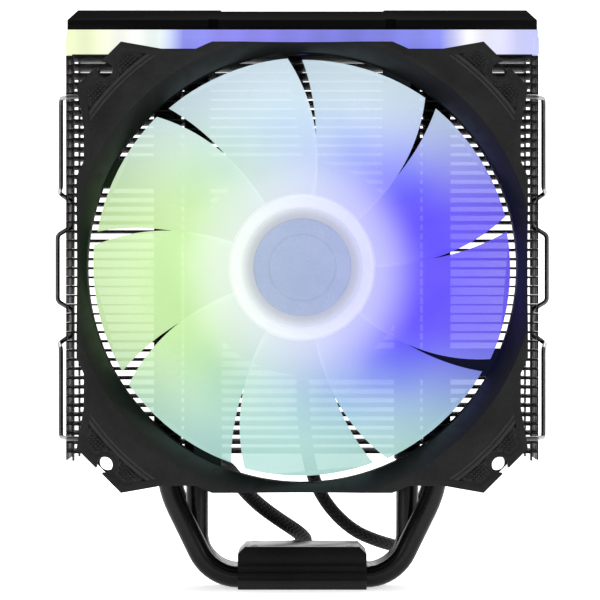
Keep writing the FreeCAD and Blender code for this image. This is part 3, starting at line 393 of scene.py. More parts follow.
# %% Black metals
def fin_black():
    """Sprayed black on thin aluminium, a little warm where light reaches in between the fins."""
    material, _, shader = moulded("fin_black", grey(0.004), (0.016, 0.009, 0.009, 1), 0.45, 0.12,
                                  900.0, 40.0, 0.25)
    set_inputs(shader, Specular_IOR_Level=0.1)
    return material


def pipe_black():
    """Glossy black nickel on round pipes, with faint drawing lines along them."""
    material, tree, shader = moulded("pipe_black", grey(0.003), grey(0.006), 0.22, 0.12, 500.0, 90.0, 0.1)
    lines = place_group(tree, BRUSHING, Stretch=(1.0, 1.0, 0.04), Scale=1800.0)
    relief_over(tree, shader, lines["Height"], 0.12, 0.03 * MM)
    set_inputs(shader, Specular_IOR_Level=0.16, Coat_Weight=0.04, Coat_Roughness=0.15)
    return material


def block_black():
    """Milled aluminium under black coating: cutter lines across the block."""
    material, tree, shader = moulded("block_black", grey(0.002), grey(0.006), 0.3, 0.15, 900.0, 60.0, 0.1)
    lines = place_group(tree, BRUSHING, Stretch=(0.03, 1.0, 1.0), Scale=2600.0)
    relief_over(tree, shader, lines["Height"], 0.3, 0.04 * MM)
    set_inputs(shader, Specular_IOR_Level=0.07)
    return material


def plate_black():
    """The contact plate: the same black, ground flat underneath so that bare metal shows through."""
    material, tree, shader = moulded("plate_black", grey(0.005), grey(0.01), 0.3, 0.1, 900.0, 60.0, 0.1)
    under = maths(tree, "LESS_THAN", split(tree, here(tree))["Z"], 0.05 * MM)
    lines = place_group(tree, BRUSHING, Stretch=(1.0, 0.03, 1.0), Scale=2200.0)
    bare = blend_colours(tree, lines["Mask"], (0.62, 0.6, 0.57, 1), (0.8, 0.78, 0.74, 1))
    colour_over(tree, shader, under, bare)
    tree.links.new(under, shader.inputs["Metallic"])
    set_inputs(shader, Specular_IOR_Level=0.2)
    return material


# %% Plastics
FLARE_RADIUS = 62.0 * MM
FLARE_DEPTH = 7.5 * MM
BORE_RADIUS = 58.6 * MM


def frame_plastic():
    """Dark grey glass-filled plastic, with the blades' light painted as a glow on the inside of the ring, and
    painted shade darkening the flare and bore.
    """
    material, tree, shader = moulded("frame_plastic", grey(0.005), grey(0.011), 0.46, 0.1, 1700.0, 120.0, 0.5,
                                     0.08 * MM)
    glow = place_group(tree, GLOW, Left=(0.03, 0.14, 0.03, 1), Right=(0.02, 0.03, 0.26, 1),
                       Upper=(0.02, 0.04, 0.04, 1), Lower=(0.02, 0.05, 0.04, 1))
    # Painted glow: the light from the blades is painted on the inside of the ring as emission.
    near = remap(tree, glow["Radius"], FLARE_RADIUS + 0.2 * MM, BORE_RADIUS - 0.1 * MM, 0.0, 0.35)
    in_flare = maths(tree, "LESS_THAN", split(tree, here(tree))["Y"], FAN_FRONT + FLARE_DEPTH)
    on_flare = maths(tree, "MULTIPLY", in_flare, maths(tree, "LESS_THAN", glow["Radius"], FLARE_RADIUS))
    inside = maths(tree, "MAXIMUM", on_flare, maths(tree, "LESS_THAN", glow["Radius"], BORE_RADIUS))
    caught = maths(tree, "MULTIPLY", near, inside)
    tree.links.new(blend_colours(tree, caught, grey(0.0), glow["Colour"]), shader.inputs["Emission Color"])
    # Painted shade: everything inside the flare's radius is painted darker than the front face.
    dark = remap(tree, glow["Radius"], FLARE_RADIUS + 0.1 * MM, FLARE_RADIUS - 0.2 * MM, 0.0, 0.8)
    colour_over(tree, shader, dark, grey(0.004))
    set_inputs(shader, Specular_IOR_Level=0.12, Emission_Strength=0.16)
    return material


def cover_plastic():
    """Fine-grained black cover, a shade glossier than the frame."""
    material, _, shader = moulded("cover_plastic", grey(0.0012), grey(0.0025), 0.3, 0.08, 2200.0, 50.0, 0.35)
    set_inputs(shader, Specular_IOR_Level=0.04)
    return material


# Depth of the pads' sunken field, and the band round that depth which is painted black as shade.
FIELD_SUNK = 0.25 * MM
FIELD_BAND = 0.08 * MM


def pad_rubber():
    """Black rubber: matte, with a trace of pale bloom, and the sunken floor between the studs of the front
    pads painted black as shade.
    """
    material, tree, shader = moulded("pad_rubber", grey(0.004), grey(0.01), 0.5, 0.1, 3000.0, 300.0, 0.6,
                                     0.1 * MM)
    # Painted shade: the field's floor between the studs is painted pure black.
    on_field = {0: split(tree, here(tree))["Y"], 1: FAN_FRONT + FIELD_SUNK, 2: FIELD_BAND}
    between = put(tree, "ShaderNodeMath", on_field, operation="COMPARE").outputs[0]
    colour_over(tree, shader, between, grey(0.0))
    set_inputs(shader, Specular_IOR_Level=0.3, Sheen_Weight=0.02, Sheen_Roughness=0.5)
    return material


def plug_plastic():
    """Black connector nylon, slightly waxy."""
    material, _, shader = moulded("plug_plastic", grey(0.005), grey(0.01), 0.4, 0.1, 2600.0, 200.0, 0.25)
    set_inputs(shader, Specular_IOR_Level=0.25)
    return material


def tie_weave():
    """Hook-and-loop strap: short fuzzy loops."""
    material, _, shader = moulded("tie_weave", grey(0.008), grey(0.035), 0.9, 0.05, 3500.0, 600.0, 0.9,
                                  0.25 * MM)
    set_inputs(shader, Specular_IOR_Level=0.15, Sheen_Weight=0.3, Sheen_Roughness=0.4)
    return material


LABEL_BAND = 18.4 * MM


def label_print():
    """Silver label with printed rings and a dark edge, and no lettering."""
    material, tree, shader = moulded("label_print", grey(0.55), grey(0.62), 0.35, 0.05, 1500.0, 80.0, 0.08)
    radius = place_group(tree, GLOW)["Radius"]
    rings = maths(tree, "SINE", maths(tree, "MULTIPLY", radius, 1400.0))
    inked = maths(tree, "MAXIMUM", maths(tree, "GREATER_THAN", rings, 0.93),
                  maths(tree, "GREATER_THAN", radius, LABEL_BAND))
    colour_over(tree, shader, inked, grey(0.03))
    return material


# %% Plastics that glow
def milky_blade():
    """Frosted blades lit from the hub: cloudy, coloured by where they stand, whiter near the hub."""
    material, tree, shader = moulded("milky_blade", grey(0.6), grey(0.7), 0.4, 0.1, 900.0, 60.0, 0.1)
    glow = place_group(tree, GLOW, Left=(0.68, 0.92, 0.48, 1), Right=(0.17, 0.12, 1.0, 1),
                       Upper=(0.72, 0.88, 0.98, 1), Lower=(0.52, 0.82, 0.76, 1))
    radius = glow["Radius"]
    inner = remap(tree, radius, 19 * MM, 34 * MM, 0.5, 0.0, smooth=True)
    pale = blend_colours(tree, inner, glow["Colour"], (0.95, 0.98, 1.0, 1))
    fade = remap(tree, radius, 30 * MM, 56 * MM, 1.0, 0.74)
    cloud = noise(tree, here(tree), 45.0, 2.0)
    from_middle = maths(tree, "ABSOLUTE", maths(tree, "SUBTRACT", radius, 36 * MM))
    middle = remap(tree, from_middle, 0.0, 12 * MM, 1.0, 0.0, smooth=True)
    patch = remap(tree, cloud, 0.35, 0.62)
    deep = maths(tree, "MULTIPLY", maths(tree, "MULTIPLY", middle, patch), 0.4)
    deeper = blend_colours(tree, 1.0, glow["Colour"], (0.8, 0.85, 0.95, 1), "MULTIPLY")
    swirled = blend_colours(tree, deep, blend_colours(tree, 1.0, pale, fade, "MULTIPLY"),
                            blend_colours(tree, 1.0, deeper, glow["Colour"], "MULTIPLY"))
    tree.links.new(swirled, shader.inputs["Emission Color"])
    rim = remap(tree, radius, 20 * MM, 56 * MM, 0.86, 0.7)
    solid = maths(tree, "ADD", rim, maths(tree, "MULTIPLY", maths(tree, "SUBTRACT", cloud, 0.5), 0.12))
    tree.links.new(solid, shader.inputs["Alpha"])
    tree.links.new(blend_colours(tree, 0.88, glow["Colour"], grey(0.0)), shader.inputs["Base Color"])
    set_inputs(shader, Emission_Strength=0.95, Specular_IOR_Level=0.15)
    return material


def hub_white():
    """The hub's clear rim, brightest right over the ring of lights behind it."""
    material, tree, shader = moulded("hub_white", grey(0.16), grey(0.18), 0.25, 0.05, 700.0, 60.0, 0.05)
    glow = place_group(tree, GLOW, Left=(0.86, 0.97, 0.76, 1), Right=(0.5, 0.5, 0.97, 1),
                       Upper=(0.78, 0.9, 0.96, 1), Lower=(0.76, 0.9, 0.88, 1))
    from_ring = maths(tree, "ABSOLUTE", maths(tree, "SUBTRACT", glow["Radius"], 17.8 * MM))
    ring = remap(tree, from_ring, 0.6 * MM, 4.4 * MM, 1.0, 0.4, smooth=True)
    lit = blend_colours(tree, ring, (0.1, 0.12, 0.2, 1), glow["Colour"])
    tree.links.new(lit, shader.inputs["Emission Color"])
    set_inputs(shader, Emission_Strength=0.85, Specular_IOR_Level=0.3, Coat_Weight=0.1, Coat_Roughness=0.1)
    return material


def cap_grey():
    """The frosted disc in the middle of the hub: bluish grey, lit a little from behind."""
    material, tree, shader = moulded("cap_grey", (0.14, 0.17, 0.24, 1), (0.18, 0.21, 0.29, 1), 0.5, 0.05,
                                     1500.0, 90.0, 0.2)
    glow = place_group(tree, GLOW, Left=(0.26, 0.34, 0.36, 1), Right=(0.24, 0.26, 0.56, 1),
                       Upper=(0.2, 0.26, 0.4, 1), Lower=(0.22, 0.28, 0.42, 1))
    tree.links.new(glow["Colour"], shader.inputs["Emission Color"])
    set_inputs(shader, Specular_IOR_Level=0.3, Emission_Strength=0.6)
    return material


BAND_HALF = 64.2 * MM
LAMP_PITCH = 9.0 * MM


def frosted_band():
    """The lit band: colour runs along it, brighter over each lamp and at the two hot spots."""
    material, tree, shader = moulded("frosted_band", grey(0.08), grey(0.1), 0.35, 0.08, 1500.0, 60.0, 0.12)
    parts = split(tree, here(tree))
    along = remap(tree, parts["X"], -BAND_HALF, BAND_HALF)
    colours = ramp(tree, along, [
        (0.0, (0.8, 0.9, 0.5, 1)), (0.06, (0.88, 0.96, 0.6, 1)), (0.12, (0.97, 0.98, 0.9, 1)),
        (0.2, (0.85, 0.96, 0.95, 1)), (0.25, (0.22, 0.24, 0.9, 1)), (0.36, (0.2, 0.18, 0.86, 1)),
        (0.62, (0.12, 0.13, 0.68, 1)), (0.79, (0.2, 0.22, 0.92, 1)), (0.85, (0.96, 0.97, 1, 1)),
        (0.93, (0.68, 0.68, 0.98, 1)), (1.0, (0.42, 0.46, 0.94, 1))])
    spots = maths(tree, "COSINE", maths(tree, "MULTIPLY", parts["X"], math.tau / LAMP_PITCH))
    lamp = remap(tree, spots, -1.0, 1.0, 0.88, 1.0)
    tree.links.new(blend_colours(tree, 1.0, colours, lamp, "MULTIPLY"), shader.inputs["Emission Color"])
    set_inputs(shader, Emission_Strength=0.95, Specular_IOR_Level=0.3, Coat_Weight=0.1, Coat_Roughness=0.15)
    return material


def light_lens():
    """Small lamps: a white lens that is lit."""
    material, _, shader = moulded("light_lens", grey(0.8), grey(0.9), 0.3, 0.05, 2000.0, 200.0, 0.1)
    set_inputs(shader, Emission_Color=(0.75, 0.78, 1, 1), Emission_Strength=1.5)
    return material


# %% Small metals and boards
def bare_metal(name, colour, second, roughness):
    """Uncoated metal with drawing lines."""
    material, tree, shader = moulded(name, colour, second, roughness, 0.12, 1500.0, 150.0, 0.08)
    lines = place_group(tree, BRUSHING, Stretch=(1.0, 1.0, 0.05), Scale=3000.0)
    relief_over(tree, shader, lines["Height"], 0.2, 0.02 * MM)
    set_inputs(shader, Metallic=1.0)
    return material


def board_mask():
    """Green lacquer on a board, a little uneven in tone."""
    material, _, shader = moulded("board_mask", (0.01, 0.06, 0.03, 1), (0.02, 0.09, 0.045, 1), 0.3, 0.08,
                                  1500.0, 400.0, 0.15)
    set_inputs(shader, Coat_Weight=0.4, Coat_Roughness=0.15)
    return material


def sleeve_braid():
    """Black woven sleeve over the wires, with painted shade in the gaps between its strands."""
    material, tree, shader = moulded("sleeve_braid", grey(0.004), grey(0.011), 0.6, 0.1, 4000.0, 300.0, 0.2)
    weave = place_group(tree, BRAID, Strands=8.0, Pitch=620.0)
    woven = shader.inputs["Base Color"].links[0].from_socket
    # Painted shade: the sleeve is painted near black where the strands sink.
    tree.links.new(blend_colours(tree, weave["Gap"], grey(0.002), woven), shader.inputs["Base Color"])
    relief_over(tree, shader, weave["Height"], 0.9, 0.2 * MM)
    set_inputs(shader, Specular_IOR_Level=0.2, Sheen_Weight=0.03, Sheen_Roughness=0.4)
    return material


FINISHES = {
    "fin_black": fin_black(), "pipe_black": pipe_black(), "block_black": block_black(),
    "plate_black": plate_black(), "frame_plastic": frame_plastic(), "cover_plastic": cover_plastic(),
    "pad_rubber": pad_rubber(), "plug_plastic": plug_plastic(), "tie_plastic": tie_weave(),
    "label_paper": label_print(), "milky_plastic": milky_blade(), "hub_white": hub_white(),
    "cap_grey": cap_grey(), "frosted_band": frosted_band(), "light_lens": light_lens(),
    "cable_sleeve": sleeve_braid(), "board_green": board_mask(),
    "clip_steel": bare_metal("clip_steel", grey(0.05), grey(0.09), 0.25),
    "screw_steel": bare_metal("screw_steel", grey(0.5), grey(0.62), 0.3),
    "ring_steel": bare_metal("ring_steel", grey(0.4), grey(0.5), 0.35),
    "shaft_steel": bare_metal("shaft_steel", grey(0.6), grey(0.7), 0.15),
    "core_steel": bare_metal("core_steel", grey(0.2), grey(0.3), 0.4),
    "copper_wire": bare_metal("copper_wire", (0.6, 0.24, 0.1, 1), (0.72, 0.34, 0.16, 1), 0.3),
    "bearing_bronze": bare_metal("bearing_bronze", (0.45, 0.3, 0.14, 1), (0.56, 0.4, 0.2, 1), 0.4),
}
FINISHES["tray_plastic"] = FINISHES["cover_plastic"]
FINISHES["boot_rubber"] = FINISHES["pad_rubber"]
FINISHES["magnet_rubber"] = FINISHES["pad_rubber"]
FINISHES["washer_plastic"] = FINISHES["plug_plastic"]
print(len(set(FINISHES.values())), "finishes")

# %% [markdown]
# ## Dress the pieces that keep their shape
#
# Every solid of the frame takes the finish of its own slot in the record. Many stay exactly as they are.
# Those with visible edges get a softened copy: real moulded and milled edges are never sharp, and it is
# their small round that catches the light. A copy is joined up, its flat areas are cleared of extra edges,
# and a narrow bevel goes on every edge sharper than a limit.

# %% Give every solid its finish
SLOT_OF = {entry["node"]: entry["material_slot"] for entry in frame["record"]["subparts"]}
BODY_OF = {node: body for body, nodes in frame["record"]["behaviour"]["bodies"].items() for node in nodes}


def dress(piece, slot, finish=None):
    """Put a finish on every face of a piece."""
    piece.data.materials.clear()
    piece.data.materials.append(FINISHES[finish or slot])


for node_name, solid in NODES.items():
    for material_slot in solid.material_slots:
        material_slot.material = FINISHES[SLOT_OF[node_name]]
print("dressed", len(NODES), "solids")


# %% Helpers for new pieces
def finish_piece(name, mesh, body, slot, finish=None):
    """A new piece at the origin that rides on a body and wears a finish."""
    piece = add_object(name, mesh)
    dress(piece, slot, finish)
    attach(piece, body)
    return piece


def settle(piece):
    """Turn a piece's modifiers into plain mesh."""
    bpy.context.view_layer.update()
    seen = piece.evaluated_get(bpy.context.evaluated_depsgraph_get())
    plain = bpy.data.meshes.new_from_object(seen)
    piece.modifiers.clear()
    piece.data = plain


def smooth_by_angle(mesh, degrees):
    """Shade smooth, but keep edges sharper than an angle."""
    mesh.polygons.foreach_set("use_smooth", [True] * len(mesh.polygons))
    mesh.set_sharp_from_angle(angle=math.radians(degrees))


@contextmanager
def edited(mesh):
    """Open a mesh for editing, and write it back at the end."""
    work = bmesh.new()
    work.from_mesh(mesh)
    yield work
    work.to_mesh(mesh)
    work.free()


def joined_copy(node_name, flatten=1.0):
    """A copy of a solid's mesh with its loose triangles joined and its flat areas cleared."""
    mesh = NODES[node_name].data.copy()
    with edited(mesh) as work:
        bmesh.ops.remove_doubles(work, verts=work.verts, dist=0.002 * MM)
        bmesh.ops.dissolve_limit(work, angle_limit=math.radians(flatten), verts=work.verts, edges=work.edges)
    return mesh


def rounded(piece, width, sharper_than):
    """Round a piece's edges, for good, where they are sharper than an angle."""
    bevel = piece.modifiers.new("round", "BEVEL")
    bevel.width = width
    bevel.segments = 2
    bevel.limit_method = "ANGLE"
    bevel.angle_limit = math.radians(sharper_than)
    settle(piece)


def softened(node_name, width):
    """A copy of a solid with its edges rounded, in the solid's place."""
    mesh = joined_copy(node_name)
    mesh.name = node_name + "_soft"
    piece = add_object(node_name + "_soft", mesh)
    rounded(piece, width, 32.0)
    smooth_by_angle(piece.data, 40.0)
    dress(piece, SLOT_OF[node_name])
    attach(piece, BODY_OF[node_name])
    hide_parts(node_name)
    print(f"{piece.name}: {len(piece.data.polygons)} faces")


# %% [markdown]
# ## Cables
#
# Two cables leave the cooler: one from the fan's motor, one from the light strip. Each hangs behind the
# fins and is tied in a flat coil behind the base, as it comes out of its box. A NURBS curve of order 3 is
# used because it bends as softly as a real sleeve does. Its points are the ones chosen for the route, and
# the coil's turns are more points of the same curve, worked out by a loop. A tube with its own UV map then
# follows the finished curve, so that the weave can run round it.

# %% Routes
FAN_CABLE_ROUTE = [
    (-24.4, -22.0, 34.0), (-23.7, -16.6, 34.2), (-21.2, -11.0, 33.5), (-18.8, -5.0, 31.0),
    (-16.4, 1.2, 26.9), (-12.2, 8.2, 22.3), (-6.4, 15.2, 17.8), (-0.8, 22.2, 13.9), (1.4, 29.6, 11.2),
    (-1.6, 36.6, 9.3), (-7.4, 42.2, 7.8), (-12.2, 48.0, 6.7), (-14.0, 55.0, 6.2), (-14.0, 61.5, 6.1),
]
LIGHT_CABLE_ROUTE = [
    (-1.8, 28.6, 144.6), (-1.7, 29.0, 139.6), (-0.4, 30.2, 132.6), (1.8, 30.6, 122.0), (2.6, 29.9, 107.0),
    (1.6, 30.1, 89.0), (0.4, 29.8, 71.0), (0.1, 29.5, 54.0), (0.8, 29.7, 39.5), (3.0, 29.9, 28.6),
    (7.4, 30.3, 20.6), (14.2, 31.0, 14.1), (21.4, 32.8, 11.0), (26.6, 37.4, 9.5), (28.0, 43.6, 7.0),
    (26.4, 49.4, 4.4), (21.8, 54.0, 2.9), (16.6, 58.6, 2.4), (14.1, 64.6, 2.3), (14.0, 70.6, 2.3),
]
FAN_CABLE_WIDTH = 4.0
LIGHT_CABLE_WIDTH = 3.6
COIL_NEAR = 60.0
COIL_FAR = 94.0
COIL_HALF = 14.0
TURN_STEP = 15


def half_turn(centre_x, centre_y, radius, start, end, height):
    """Points of a half turn between two headings, in degrees."""
    steps = int(abs(end - start) / TURN_STEP)
    for at in range(steps + 1):
        angle = math.radians(start + (end - start) * at / steps)
        yield centre_x + radius * math.cos(angle), centre_y + radius * math.sin(angle), height


def light_coil():
    """One turn of the light cable, and its way back up the middle into the plug."""
    height = LIGHT_CABLE_ROUTE[-1][2]
    points = [(COIL_HALF, y, height) for y in (78.0, 86.0)]
    points += half_turn(0, COIL_FAR, COIL_HALF, 0, 180, height)
    points += [(-COIL_HALF, y, height) for y in (86.0, 77.0, 68.0)]
    points += half_turn(-2.0, COIL_NEAR, 12.0, 180, 360, height)
    points += [(10.0, 65.0, height), (9.6, 70.0, height), (7.6, 74.6, height), (4.2, 77.8, height),
               (1.4, 81.0, height), (0.2, 84.4, height), (0.0, 87.4, height)]
    return points


def fan_coil():
    """One and a half turns of the fan cable, on top of the light cable, and its way into the plug."""
    height = FAN_CABLE_ROUTE[-1][2]
    points = [(-COIL_HALF, y, height) for y in (70.0, 78.0, 86.0)]
    points += half_turn(0, COIL_FAR, COIL_HALF, 180, 0, height)
    points += [(COIL_HALF, y, height) for y in (86.0, 77.0, 68.0)]
    points += half_turn(2.2, COIL_NEAR, 11.8, 360, 180, height)
    points += [(-9.6, y, height) for y in (68.0, 77.0, 86.0)]
    points += half_turn(0, COIL_FAR, 9.6, 180, 0, height)
    points += [(9.4, 89.4, height), (7.8, 85.2, height), (4.6, 81.8, height), (1.6, 79.0, height),
               (0.2, 75.8, 6.0), (0.0, 72.2, 5.8)]
    return points


# %% From points to a woven tube
def centreline(name, points):
    """The smooth line through a route: a NURBS curve read back as closely spaced points."""
    curve = bpy.data.curves.new(name, "CURVE")
    curve.dimensions = "3D"
    curve.resolution_u = 12
    spline = curve.splines.new("NURBS")
    spline.points.add(len(points) - 1)
    for point, place in zip(spline.points, points):
        point.co = (*(v * MM for v in place), 1.0)
    spline.order_u = 3
    spline.use_endpoint_u = True
    holder = add_object(name, curve)
    bpy.context.view_layer.update()
    line = bpy.data.meshes.new_from_object(holder.evaluated_get(bpy.context.evaluated_depsgraph_get()))
    spots = [vertex.co.copy() for vertex in line.vertices]
    bpy.data.objects.remove(holder)
    bpy.data.meshes.remove(line)
    return spots


AROUND = 20


def tube_rings(work, spots, radius):
    """A ring of points round each spot of a line, and how far along the line each ring is."""
    normal = Vector((0, 0, 1))
    rings, runs = [], []
    travelled = 0.0
    for at, spot in enumerate(spots):
        tangent = (spots[min(at + 1, len(spots) - 1)] - spots[max(at - 1, 0)]).normalized()
        if abs(tangent.dot(normal)) > 0.98 and at == 0:
            normal = Vector((1, 0, 0))
        normal = (normal - tangent * tangent.dot(normal)).normalized()
        side = tangent.cross(normal)
        if at:
            travelled += (spot - spots[at - 1]).length
        runs.append(travelled)
        ring = []
        for step in range(AROUND):
            angle = math.tau * step / AROUND
            outwards = normal * math.cos(angle) + side * math.sin(angle)
            ring.append(work.verts.new(spot + outwards * radius))
        rings.append(ring)
    return rings, runs


def tube_mesh(name, spots, diameter):
    """A closed tube along a line, with a UV map that counts turns across and metres along."""
    mesh = bpy.data.meshes.new(name)
    with edited(mesh) as work:
        uv = work.loops.layers.uv.new("along")
        rings, runs = tube_rings(work, spots, diameter / 2)
        for at in range(len(rings) - 1):
            for step in range(AROUND):
                after = (step + 1) % AROUND
                face = work.faces.new((rings[at][step], rings[at][after],
                                       rings[at + 1][after], rings[at + 1][step]))
                face.smooth = True
                corners = ((step, at), (step + 1, at), (step + 1, at + 1), (step, at + 1))
                for loop, (turn, row) in zip(face.loops, corners):
                    loop[uv].uv = (turn / AROUND, runs[row])
        work.faces.new(list(reversed(rings[0])))
        work.faces.new(rings[-1])
        bmesh.ops.recalc_face_normals(work, faces=work.faces)
    return mesh


def lay_cable(name, points, width, coil_node):
    """A cable from its exit to its plug: a woven tube along its route, which takes the place of the model's
    cable and coil.
    """
    spots = centreline(name + "_line", points)
    tube = tube_mesh(name + "_sleeved", spots, width * MM)
    piece = finish_piece(name + "_sleeved", tube, "cooler", "cable_sleeve")
    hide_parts(name, coil_node)

# %% [markdown]
# ## Fins
#
# Forty-four stamped fins are pressed on the pipes, one above the other. They are one shape repeated at an
# even step, so Geometry Nodes stack them: the lowest fin is the instance, a line of points gives the
# places, and a hair's breadth of turn per fin keeps the stack from looking machined from one block. The
# seed is fixed, so the stack is the same each time.


# %% Helpers for Geometry Nodes
GEOMETRY_SOCKETS = {int: "NodeSocketInt", float: "NodeSocketFloat", bpy.types.Material: "NodeSocketMaterial"}


def geometry_tree(name, inputs):
    """A Geometry Nodes tree with a named input for each size. Returns the tree and its two ends."""
    tree = bpy.data.node_groups.new(name, "GeometryNodeTree")
    tree.interface.new_socket("Geometry", in_out="INPUT", socket_type="NodeSocketGeometry")
    tree.interface.new_socket("Geometry", in_out="OUTPUT", socket_type="NodeSocketGeometry")
    for label, value in inputs.items():
        tree.interface.new_socket(label, in_out="INPUT", socket_type=GEOMETRY_SOCKETS[type(value)])
    return tree, put(tree, "NodeGroupInput").outputs, put(tree, "NodeGroupOutput").inputs


def grow(piece, tree, inputs):
    """Run a tree on a piece with these inputs and keep the plain mesh."""
    modifier = piece.modifiers.new(tree.name, "NODES")
    modifier.node_group = tree
    keys = {item.name: item.identifier for item in tree.interface.items_tree if item.in_out == "INPUT"}
    for label, value in inputs.items():
        modifier[keys[label]] = value
    settle(piece)


def end_tree(tree, geometry, given, result):
    """Every tree ends the same way: real geometry, smooth, with its material."""
    real = put(tree, "GeometryNodeRealizeInstances", {"Geometry": geometry}).outputs[0]
    worn = put(tree, "GeometryNodeSetMaterial", {"Geometry": real, "Material": given["Material"]}).outputs[0]
    tree.links.new(worn, result["Geometry"])


# %% Stack the fins
def stacking_tree(inputs):
    """Copies of what comes in, one above the other."""
    tree, given, result = geometry_tree("stack_fins", inputs)
    step = put(tree, "ShaderNodeCombineXYZ", {"Z": given["Pitch"]}).outputs[0]
    places = put(tree, "GeometryNodeMeshLine", {"Count": given["Count"], "Offset": step}).outputs[0]
    back = maths(tree, "MULTIPLY", given["Wander"], -1.0)
    turn = put(tree, "FunctionNodeRandomValue", {"Seed": 7}, data_type="FLOAT")
    tree.links.new(back, turn.inputs[2])
    tree.links.new(given["Wander"], turn.inputs[3])
    turned_by = put(tree, "ShaderNodeCombineXYZ", {"Z": turn.outputs[1]}).outputs[0]
    copies = put(tree, "GeometryNodeInstanceOnPoints",
                 {"Points": places, "Instance": given["Geometry"], "Rotation": turned_by}).outputs[0]
    end_tree(tree, copies, given, result)
    return tree


FIN_PITCH = 2.5 * MM
FIN_COUNT = 44
FIN_SPLIT = 37.65 * MM
lowest_fin = joined_copy("fin_stack")
with edited(lowest_fin) as work:
    above = [vertex for vertex in work.verts if vertex.co.z > FIN_SPLIT]
    bmesh.ops.delete(work, geom=above, context="VERTS")
fins = add_object("fins", lowest_fin)
fin_inputs = {"Count": FIN_COUNT, "Pitch": FIN_PITCH, "Wander": 0.0008, "Material": FINISHES["fin_black"]}
grow(fins, stacking_tree(fin_inputs), fin_inputs)
smooth_by_angle(fins.data, 30.0)
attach(fins, "cooler")
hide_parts("fin_stack")
print(f"fins: {len(fins.data.polygons)} faces")

# %% [markdown]
# ## Fan rotor
#
# Nine broad blades sweep forward from a hub. Each blade follows one rule: how far out a point is sets how
# much angle the blade spans and how far it rises along the axis. A tree of Geometry Nodes takes a plain
# cylinder of points, reads each point as a place on the blade, and moves it there. The front half of the
# cylinder becomes the front face and the back half the back face, so the blade is closed and has round
# edges. Nine instances are then turned about the axis.

# %% Blades by rule
HUB_RADIUS = 19.6
BLADE = {
    "Blades": 9, "Inner": 18.65 * MM, "Hub": HUB_RADIUS * MM, "Tip": 55.7 * MM, "Thickness": 1.5 * MM,
    "Span Root": 43.0, "Span Tip": 36.0, "Lead": 14.0, "Rise Root": 14.2 * MM, "Rise Tip": 11.8 * MM,
    "Camber": 2.0 * MM, "Front": -48.35 * MM, "Axis Height": FAN_Z, "Material": FINISHES["milky_plastic"],
}


def blade_tree(inputs):
    """Blades whose every point is worked out from the sizes given."""
    tree, given, result = geometry_tree("sweep_blades", inputs)

    def between(root, tip, share):
        return maths(tree, "ADD", root, maths(tree, "MULTIPLY", maths(tree, "SUBTRACT", tip, root), share))

    body = put(tree, "GeometryNodeMeshCylinder",
               {"Vertices": 32, "Side Segments": 22, "Radius": 1.0, "Depth": 1.0}).outputs["Mesh"]
    spot = split(tree, put(tree, "GeometryNodeInputPosition").outputs[0])
    radius = between(given["Inner"], given["Tip"], maths(tree, "ADD", spot["Z"], 0.5))
    width = maths(tree, "SUBTRACT", given["Tip"], given["Hub"])
    from_hub = maths(tree, "SUBTRACT", radius, given["Hub"])
    out = maths(tree, "MAXIMUM", maths(tree, "DIVIDE", from_hub, width), 0.0)
    along = maths(tree, "MULTIPLY", maths(tree, "SUBTRACT", 1.0, spot["X"]), 0.5)
    span = maths(tree, "MULTIPLY", between(given["Span Root"], given["Span Tip"], out), along)
    lead = maths(tree, "MULTIPLY", given["Lead"], maths(tree, "POWER", out, 1.5))
    angle = maths(tree, "RADIANS", maths(tree, "ADD", lead, span))
    bulge = maths(tree, "SINE", maths(tree, "MULTIPLY", along, math.pi))
    rise = maths(tree, "MULTIPLY", between(given["Rise Root"], given["Rise Tip"], out), along)
    full = maths(tree, "POWER", maths(tree, "ABSOLUTE", spot["Y"]), 0.7)
    side = maths(tree, "MULTIPLY", maths(tree, "SIGN", spot["Y"]), full)
    half = maths(tree, "MULTIPLY", maths(tree, "MULTIPLY", given["Thickness"], 0.5), side)
    camber = maths(tree, "MULTIPLY", given["Camber"], bulge)
    depth = maths(tree, "ADD", maths(tree, "ADD", given["Front"], rise), maths(tree, "ADD", camber, half))
    there = put(tree, "ShaderNodeCombineXYZ", {
        "X": maths(tree, "MULTIPLY", radius, maths(tree, "COSINE", angle)), "Y": depth,
        "Z": maths(tree, "MULTIPLY", radius, maths(tree, "SINE", angle))}).outputs[0]
    blade = put(tree, "GeometryNodeSetPosition", {"Geometry": body, "Position": there}).outputs[0]
    slots = put(tree, "GeometryNodeMeshLine", {"Count": given["Blades"], "Offset": (0, 0, 0)}).outputs[0]
    step = maths(tree, "DIVIDE", math.tau, given["Blades"])
    turn = maths(tree, "MULTIPLY", put(tree, "GeometryNodeInputIndex").outputs[0], step)
    turned_by = put(tree, "ShaderNodeCombineXYZ", {"Y": turn}).outputs[0]
    copies = put(tree, "GeometryNodeInstanceOnPoints",
                 {"Points": slots, "Instance": blade, "Rotation": turned_by}).outputs[0]
    lift = put(tree, "ShaderNodeCombineXYZ", {"Z": given["Axis Height"]}).outputs[0]
    placed = put(tree, "GeometryNodeTransform", {"Geometry": copies, "Translation": lift}).outputs[0]
    end_tree(tree, placed, given, result)
    return tree


blades = add_object("blades", bpy.data.meshes.new("blades"))
grow(blades, blade_tree(BLADE), BLADE)
with edited(blades.data) as work:
    bmesh.ops.recalc_face_normals(work, faces=work.faces)
smooth_by_angle(blades.data, 60.0)
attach(blades, "fan_rotor")
print(f"blades: {len(blades.data.polygons)} faces")

# %% [markdown]
# ## Round pieces
#
# The hub is turned: one outline swept once round the axis. A spin in plain mesh code gives full control
# over where the outline meets the axis, where one shared point closes the surface.


